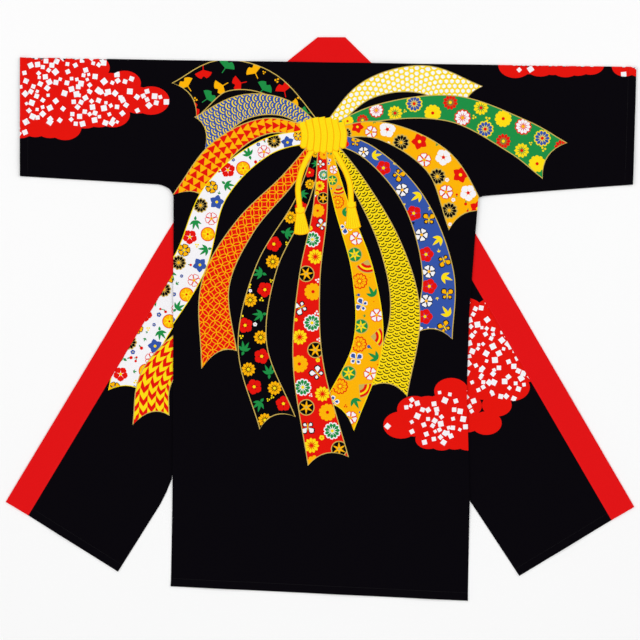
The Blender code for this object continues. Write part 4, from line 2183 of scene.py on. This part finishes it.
@dataclass(frozen=True)
class ClothFinish:
    """The feel of a woven cotton: its threads, its gloss and how unevenly it took the dye."""

    name: str
    pitch: float = 0.0007
    relief: float = 0.00010
    roughness: float = 0.88
    specular: float = 0.02
    sheen: float = 0.015
    mottle: float = 0.05

    def weave(self, graph: Graph) -> Field:
        """The height of a plain weave, 0 to 1.

        Args:
            graph: The material's nodes.

        Returns:
            The height.
        """
        warp, weft = graph.two("threads")
        a = (warp * (math.pi / self.pitch)).math("SINE")
        b = (weft * (math.pi / self.pitch)).math("SINE")
        return a * b * 0.5 + 0.5

    def finish(self, graph: Graph, colour: object) -> bpy.types.Material:
        """Feeds the shader with a colour, with painted shade where the weave dips, and an uneven dye.

        Args:
            graph: The material's nodes.
            colour: The dye's colour or socket.

        Returns:
            The material.
        """
        weave = self.weave(graph)
        slubs = graph.noise("threads", 420.0, 3.0)
        cloud = graph.noise("threads", 9.0, 3.0)
        # Painted shade: the colour darkens where the weave's height dips. The slub and cloud noise add
        # random tone, as from uneven yarn and dye.
        depth = (weave - 0.5) * 0.10 + (slubs - 0.5) * 0.14 + (cloud - 0.5) * self.mottle
        shade = graph.node("ShaderNodeHueSaturation")
        graph.feed(shade, Value=depth + 1.0, Color=colour)
        bump = graph.node("ShaderNodeBump")
        graph.feed(bump, Height=weave + slubs * 0.8, Distance=self.relief, Strength=0.7)
        rough = (cloud - 0.5) * 0.08 + self.roughness
        graph.feed(graph.shader, Base_Color=shade.outputs[0], Roughness=rough)
        graph.feed(graph.shader, Normal=bump.outputs[0])
        graph.feed(graph.shader, Specular_IOR_Level=self.specular, Sheen_Weight=self.sheen)
        graph.feed(graph.shader, Sheen_Roughness=0.6)
        return graph.material

    def plain(self, ink: Ink) -> bpy.types.Material:
        """The cloth dyed in one colour.

        Args:
            ink: The dye.

        Returns:
            The material.
        """
        return self.finish(Graph(self.name), linear(ink))

    def printed(self) -> bpy.types.Material:
        """The cloth printed with the inks and repeats that its mesh carries.

        Returns:
            The material.
        """
        graph = Graph(self.name)
        u, v = graph.two("course")
        kind = Field(graph.tree, graph.node("ShaderNodeAttribute", attribute_name="repeat").outputs[2])
        share = None
        for repeat, draw in DRAWN.items():
            part = draw(u, v) * abs(kind - float(repeat.value)).under(0.5)
            share = part if share is None else share + part
        inks = [
            graph.node("ShaderNodeVertexColor", layer_name=name).outputs[0]
            for name in ("ground", "second")
        ]
        return self.finish(graph, graph.blend(share, inks[0], inks[1]))


@dataclass(frozen=True)
class ThreadFinish:
    """Sewing thread: a twisted cotton of one colour."""

    name: str
    roughness: float = 0.7

    def dyed(self, ink: Ink) -> bpy.types.Material:
        """The thread in one colour.

        Args:
            ink: The dye.

        Returns:
            The material.
        """
        graph = Graph(self.name)
        where = graph.node("ShaderNodeTexCoord")
        noise = graph.node("ShaderNodeTexNoise")
        graph.feed(noise, Vector=where.outputs["Object"], Scale=900.0, Detail=2.0)
        twist = Field(graph.tree, noise.outputs[0])
        shade = graph.node("ShaderNodeHueSaturation")
        graph.feed(shade, Value=(twist - 0.5) * 0.5 + 1.25, Color=linear(ink))
        graph.feed(graph.shader, Base_Color=shade.outputs[0], Roughness=self.roughness)
        return graph.material


@dataclass(frozen=True)
class StitchSize:
    """A machine stitch: its length, the step to the next, and the thread's thickness."""

    length: float = 0.0024
    step: float = 0.0031
    thread: float = 0.00042


class Stitcher:
    """Lays rows of stitches on the cloth with Geometry Nodes."""

    def __init__(self, size: StitchSize) -> None:
        """Keeps the stitch and builds its node tree.

        Args:
            size: The stitch's sizes.
        """
        self.size = size
        self.tree = self._tree()

    def _tree(self) -> bpy.types.NodeTree:
        """A tree that puts one stitch at each step of a row and makes them real."""
        tree = bpy.data.node_groups.new("stitch_rows", "GeometryNodeTree")
        tree.interface.new_socket("Row", in_out="INPUT", socket_type="NodeSocketGeometry")
        for name, value in (
            ("Step", self.size.step),
            ("Length", self.size.length),
            ("Thread", self.size.thread / 2),
        ):
            socket = tree.interface.new_socket(name, in_out="INPUT", socket_type="NodeSocketFloat")
            socket.default_value = value
        tree.interface.new_socket("Finish", in_out="INPUT", socket_type="NodeSocketMaterial")
        tree.interface.new_socket("Stitches", in_out="OUTPUT", socket_type="NodeSocketGeometry")
        new, link = tree.nodes.new, tree.links.new
        given, result = new("NodeGroupInput"), new("NodeGroupOutput")
        curve = new("GeometryNodeMeshToCurve")
        link(given.outputs["Row"], curve.inputs["Mesh"])
        points = new("GeometryNodeCurveToPoints")
        points.mode = "LENGTH"
        link(curve.outputs[0], points.inputs["Curve"])
        link(given.outputs["Step"], points.inputs["Length"])
        bead = new("GeometryNodeMeshUVSphere")
        bead.inputs["Segments"].default_value = 6
        bead.inputs["Rings"].default_value = 4
        link(given.outputs["Thread"], bead.inputs["Radius"])
        stretch = new("ShaderNodeMath")
        stretch.operation = "DIVIDE"
        link(given.outputs["Length"], stretch.inputs[0])
        link(given.outputs["Thread"], stretch.inputs[1])
        half = new("ShaderNodeMath")
        half.operation = "MULTIPLY"
        half.inputs[1].default_value = 0.5
        link(stretch.outputs[0], half.inputs[0])
        scale = new("ShaderNodeCombineXYZ")
        scale.inputs[0].default_value = 1.0
        scale.inputs[1].default_value = 1.0
        link(half.outputs[0], scale.inputs[2])
        place = new("GeometryNodeInstanceOnPoints")
        link(points.outputs["Points"], place.inputs["Points"])
        link(points.outputs["Rotation"], place.inputs["Rotation"])
        link(bead.outputs[0], place.inputs["Instance"])
        link(scale.outputs[0], place.inputs["Scale"])
        real = new("GeometryNodeRealizeInstances")
        link(place.outputs[0], real.inputs[0])
        paint = new("GeometryNodeSetMaterial")
        link(real.outputs[0], paint.inputs["Geometry"])
        link(given.outputs["Finish"], paint.inputs["Material"])
        link(paint.outputs[0], result.inputs[0])
        return tree

    def sew(self, name: str, rows: Sequence[Points], material: bpy.types.Material) -> bpy.types.Object:
        """Makes all the stitches of some rows as one piece.

        Args:
            name: The piece's name.
            rows: The rows' points, on the cloth.
            material: The thread.

        Returns:
            The object.
        """
        vertices = np.vstack(rows)
        edges, start = [], 0
        for row in rows:
            edges += [(i, i + 1) for i in range(start, start + len(row) - 1)]
            start += len(row)
        mesh = bpy.data.meshes.new(name + "_rows")
        mesh.from_pydata(vertices.tolist(), edges, [])
        guide = bpy.data.objects.new(name + "_rows", mesh)
        bpy.context.collection.objects.link(guide)
        nodes = guide.modifiers.new("stitches", "NODES")
        nodes.node_group = self.tree
        sockets = {s.name: s.identifier for s in self.tree.interface.items_tree if s.in_out == "INPUT"}
        nodes[sockets["Finish"]] = material
        graph = bpy.context.evaluated_depsgraph_get()
        real = bpy.data.meshes.new_from_object(guide.evaluated_get(graph))
        bpy.data.objects.remove(guide, do_unlink=True)
        real.name = name
        real.shade_smooth()
        made = bpy.data.objects.new(name, real)
        bpy.context.collection.objects.link(made)
        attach(made, "root")
        "printed_cloth" if "body" in name else "collar_cloth"
        return made


class Sewing:
    """Where the garment's visible rows of stitches run."""

    hem_row = 0.0175
    collar_row = 0.0030
    proud = 0.00006

    def __init__(self, layout: Layout, sheets: Sequence[Sheet]) -> None:
        """Keeps the panels that are sewn.

        Args:
            layout: The heights and edges of the whole garment.
            sheets: All panels of printed cloth.
        """
        self.layout = layout
        self.sheets = sheets

    def _on(self, sheet: Sheet, plan: Points) -> Points:
        """A row in plan, laid on a panel's outside."""
        outside, _ = sheet.lift(plan)
        return self.layout.creased(outside) + (0, 0, self.proud)

    def body_rows(self) -> list[Points]:
        """The rows on the body's and sleeves' hems."""
        rows = []
        for sheet in self.sheets:
            if isinstance(sheet, BackSheet):
                x = np.linspace(-0.322, 0.316, 130)
                rows.append(self._on(sheet, np.stack([x, self.layout.hem_y(x) + self.hem_row], axis=1)))
            elif isinstance(sheet, FrontSheet):
                a, b = sheet.hem_ends
                up = sheet.layout.seams[sheet.cut.side]
                lift = (up[1] - up[0]) / np.linalg.norm(up[1] - up[0]) * self.hem_row
                rows.append(self._on(sheet, polyline([a + lift, b + lift], 0.006)))
            elif isinstance(sheet, SleeveSheet):
                y = np.linspace(sheet.cut.cuff_low[1] + 0.003, sheet.cut.cuff_top[1] - 0.003, 50)
                x = sheet.cuff(y) - sheet.way * self.hem_row
                rows.append(self._on(sheet, np.stack([x, y], axis=1)))
        return rows

    def collar_rows(self) -> list[Points]:
        """The row along the collar's seamed edge."""
        layout = self.layout
        share = 1 - self.collar_row / layout.cut.collar_width
        line = layout.collar_outer + (layout.collar_inner - layout.collar_outer) * share
        line = spread(line, np.linspace(0.001, 0.999, 500))
        level = np.column_stack([line, np.full(len(line), COLLAR_CLOTH + self.proud)])
        return [layout.creased(level)]


@dataclass(frozen=True)
class StudioSize:
    """The photograph's view: its width in metres on the floor, its middle and the lens."""

    width: float = 1.4016
    middle: tuple[float, float] = (-0.00219, -0.00219)
    lens: float = 100.0
    sensor: float = 36.0


class Studio:
    """A pale floor, even soft light and a camera looking straight down."""

    def __init__(self, size: StudioSize) -> None:
        """Keeps the view's sizes.

        Args:
            size: The view.
        """
        self.size = size

    def build(self) -> None:
        """Makes the floor, the lights, the surroundings and the camera."""
        self._floor()
        self._lights()
        self._camera()
        world = bpy.data.worlds.new("studio")
        world.use_nodes = True
        background = world.node_tree.nodes["Background"]
        background.inputs["Color"].default_value = (1, 1, 1, 1)
        background.inputs["Strength"].default_value = 0.52
        scene = bpy.context.scene
        scene.world = world
        scene.view_settings.view_transform = "Standard"
        scene.view_settings.look = "None"

    def _floor(self) -> None:
        """The floor, a little below the cloth."""
        size = 6.0
        mesh = bpy.data.meshes.new("floor")
        corners = [(-size, -size, 0), (size, -size, 0), (size, size, 0), (-size, size, 0)]
        mesh.from_pydata([(x, y, -0.0002) for x, y, _ in corners], [], [(0, 1, 2, 3)])
        graph = Graph("pale_paper")
        graph.feed(graph.shader, Base_Color=(0.98, 0.98, 0.98, 1), Roughness=0.9)
        graph.feed(graph.shader, Specular_IOR_Level=0.1)
        mesh.materials.append(graph.material)
        floor = bpy.data.objects.new("floor", mesh)
        bpy.context.collection.objects.link(floor)

    def _lights(self) -> None:
        """Large soft lamps round the camera."""
        for name, place, power in (
            ("lamp_left", (-2.4, 1.2, 2.6), 38),
            ("lamp_right", (2.4, 1.2, 2.6), 38),
            ("lamp_foot", (0.0, -2.6, 2.8), 28),
        ):
            data = bpy.data.lights.new(name, "AREA")
            data.energy = power
            data.shape = "SQUARE"
            data.size = 2.4
            lamp = bpy.data.objects.new(name, data)
            lamp.location = place
            aim = Vector((0, 0, 0)) - lamp.location
            lamp.rotation_euler = aim.to_track_quat("-Z", "Y").to_euler()
            bpy.context.collection.objects.link(lamp)

    def _camera(self) -> None:
        """The camera, straight above, with its top towards the collar."""
        size = self.size
        data = bpy.data.cameras.new("camera")
        data.lens = size.lens
        data.sensor_width = size.sensor
        data.clip_end = 50
        camera = bpy.data.objects.new("camera", data)
        camera.location = (*size.middle, size.width * size.lens / size.sensor)
        bpy.context.collection.objects.link(camera)
        bpy.context.scene.camera = camera


def main() -> None:
    """Builds the garment's pieces in order, then the studio."""
    logging.basicConfig(level=logging.INFO, format="%(message)s")
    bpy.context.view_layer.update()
    layout = Layout(GarmentCut())
    dice = random.Random(7)
    printed = ClothFinish(name="printed_black_cotton").printed()
    red = ClothFinish(name="red_collar_cotton", pitch=0.0008, mottle=0.03).plain(Ink.CRIMSON)
    body_figures = [cloud.figure(dice) for cloud in CLOUDS]
    body_figures += [streamer.figure(dice) for streamer in STREAMERS]
    body_figures += Cord().figures()
    sheets = [BackSheet(layout)]
    panels = [PrintedPanel(sheets[0], body_figures)]
    for cut in layout.cut.fronts:
        figures = [f.figure(dice) for f in (*FRONT_CLOUDS[cut.side], *FRONT_STREAMERS[cut.side])]
        sheets.append(FrontSheet(layout, cut))
        panels.append(PrintedPanel(sheets[-1], figures))
    for cut in layout.cut.sleeves:
        sheets.append(SleeveSheet(layout, cut))
        panels.append(PrintedPanel(sheets[-1], body_figures))
    CollarBand(layout).build(red)
    for panel in panels[::-1]:
        made = panel.build(printed)
        log.info("%s: %d faces", made.name, len(made.data.polygons))
    sewing = Sewing(layout, sheets)
    stitcher = Stitcher(StitchSize())
    for name, rows, finish in (
        ("stitches_body", sewing.body_rows(), ThreadFinish("black_thread").dyed(Ink.BLACK)),
        ("stitches_collar", sewing.collar_rows(), ThreadFinish("red_thread").dyed(Ink.CRIMSON)),
    ):
        made = stitcher.sew(name, rows, finish)
        log.info("%s: %d faces", made.name, len(made.data.polygons))
    Studio(StudioSize()).build()


if __name__ == "__main__":
    main()
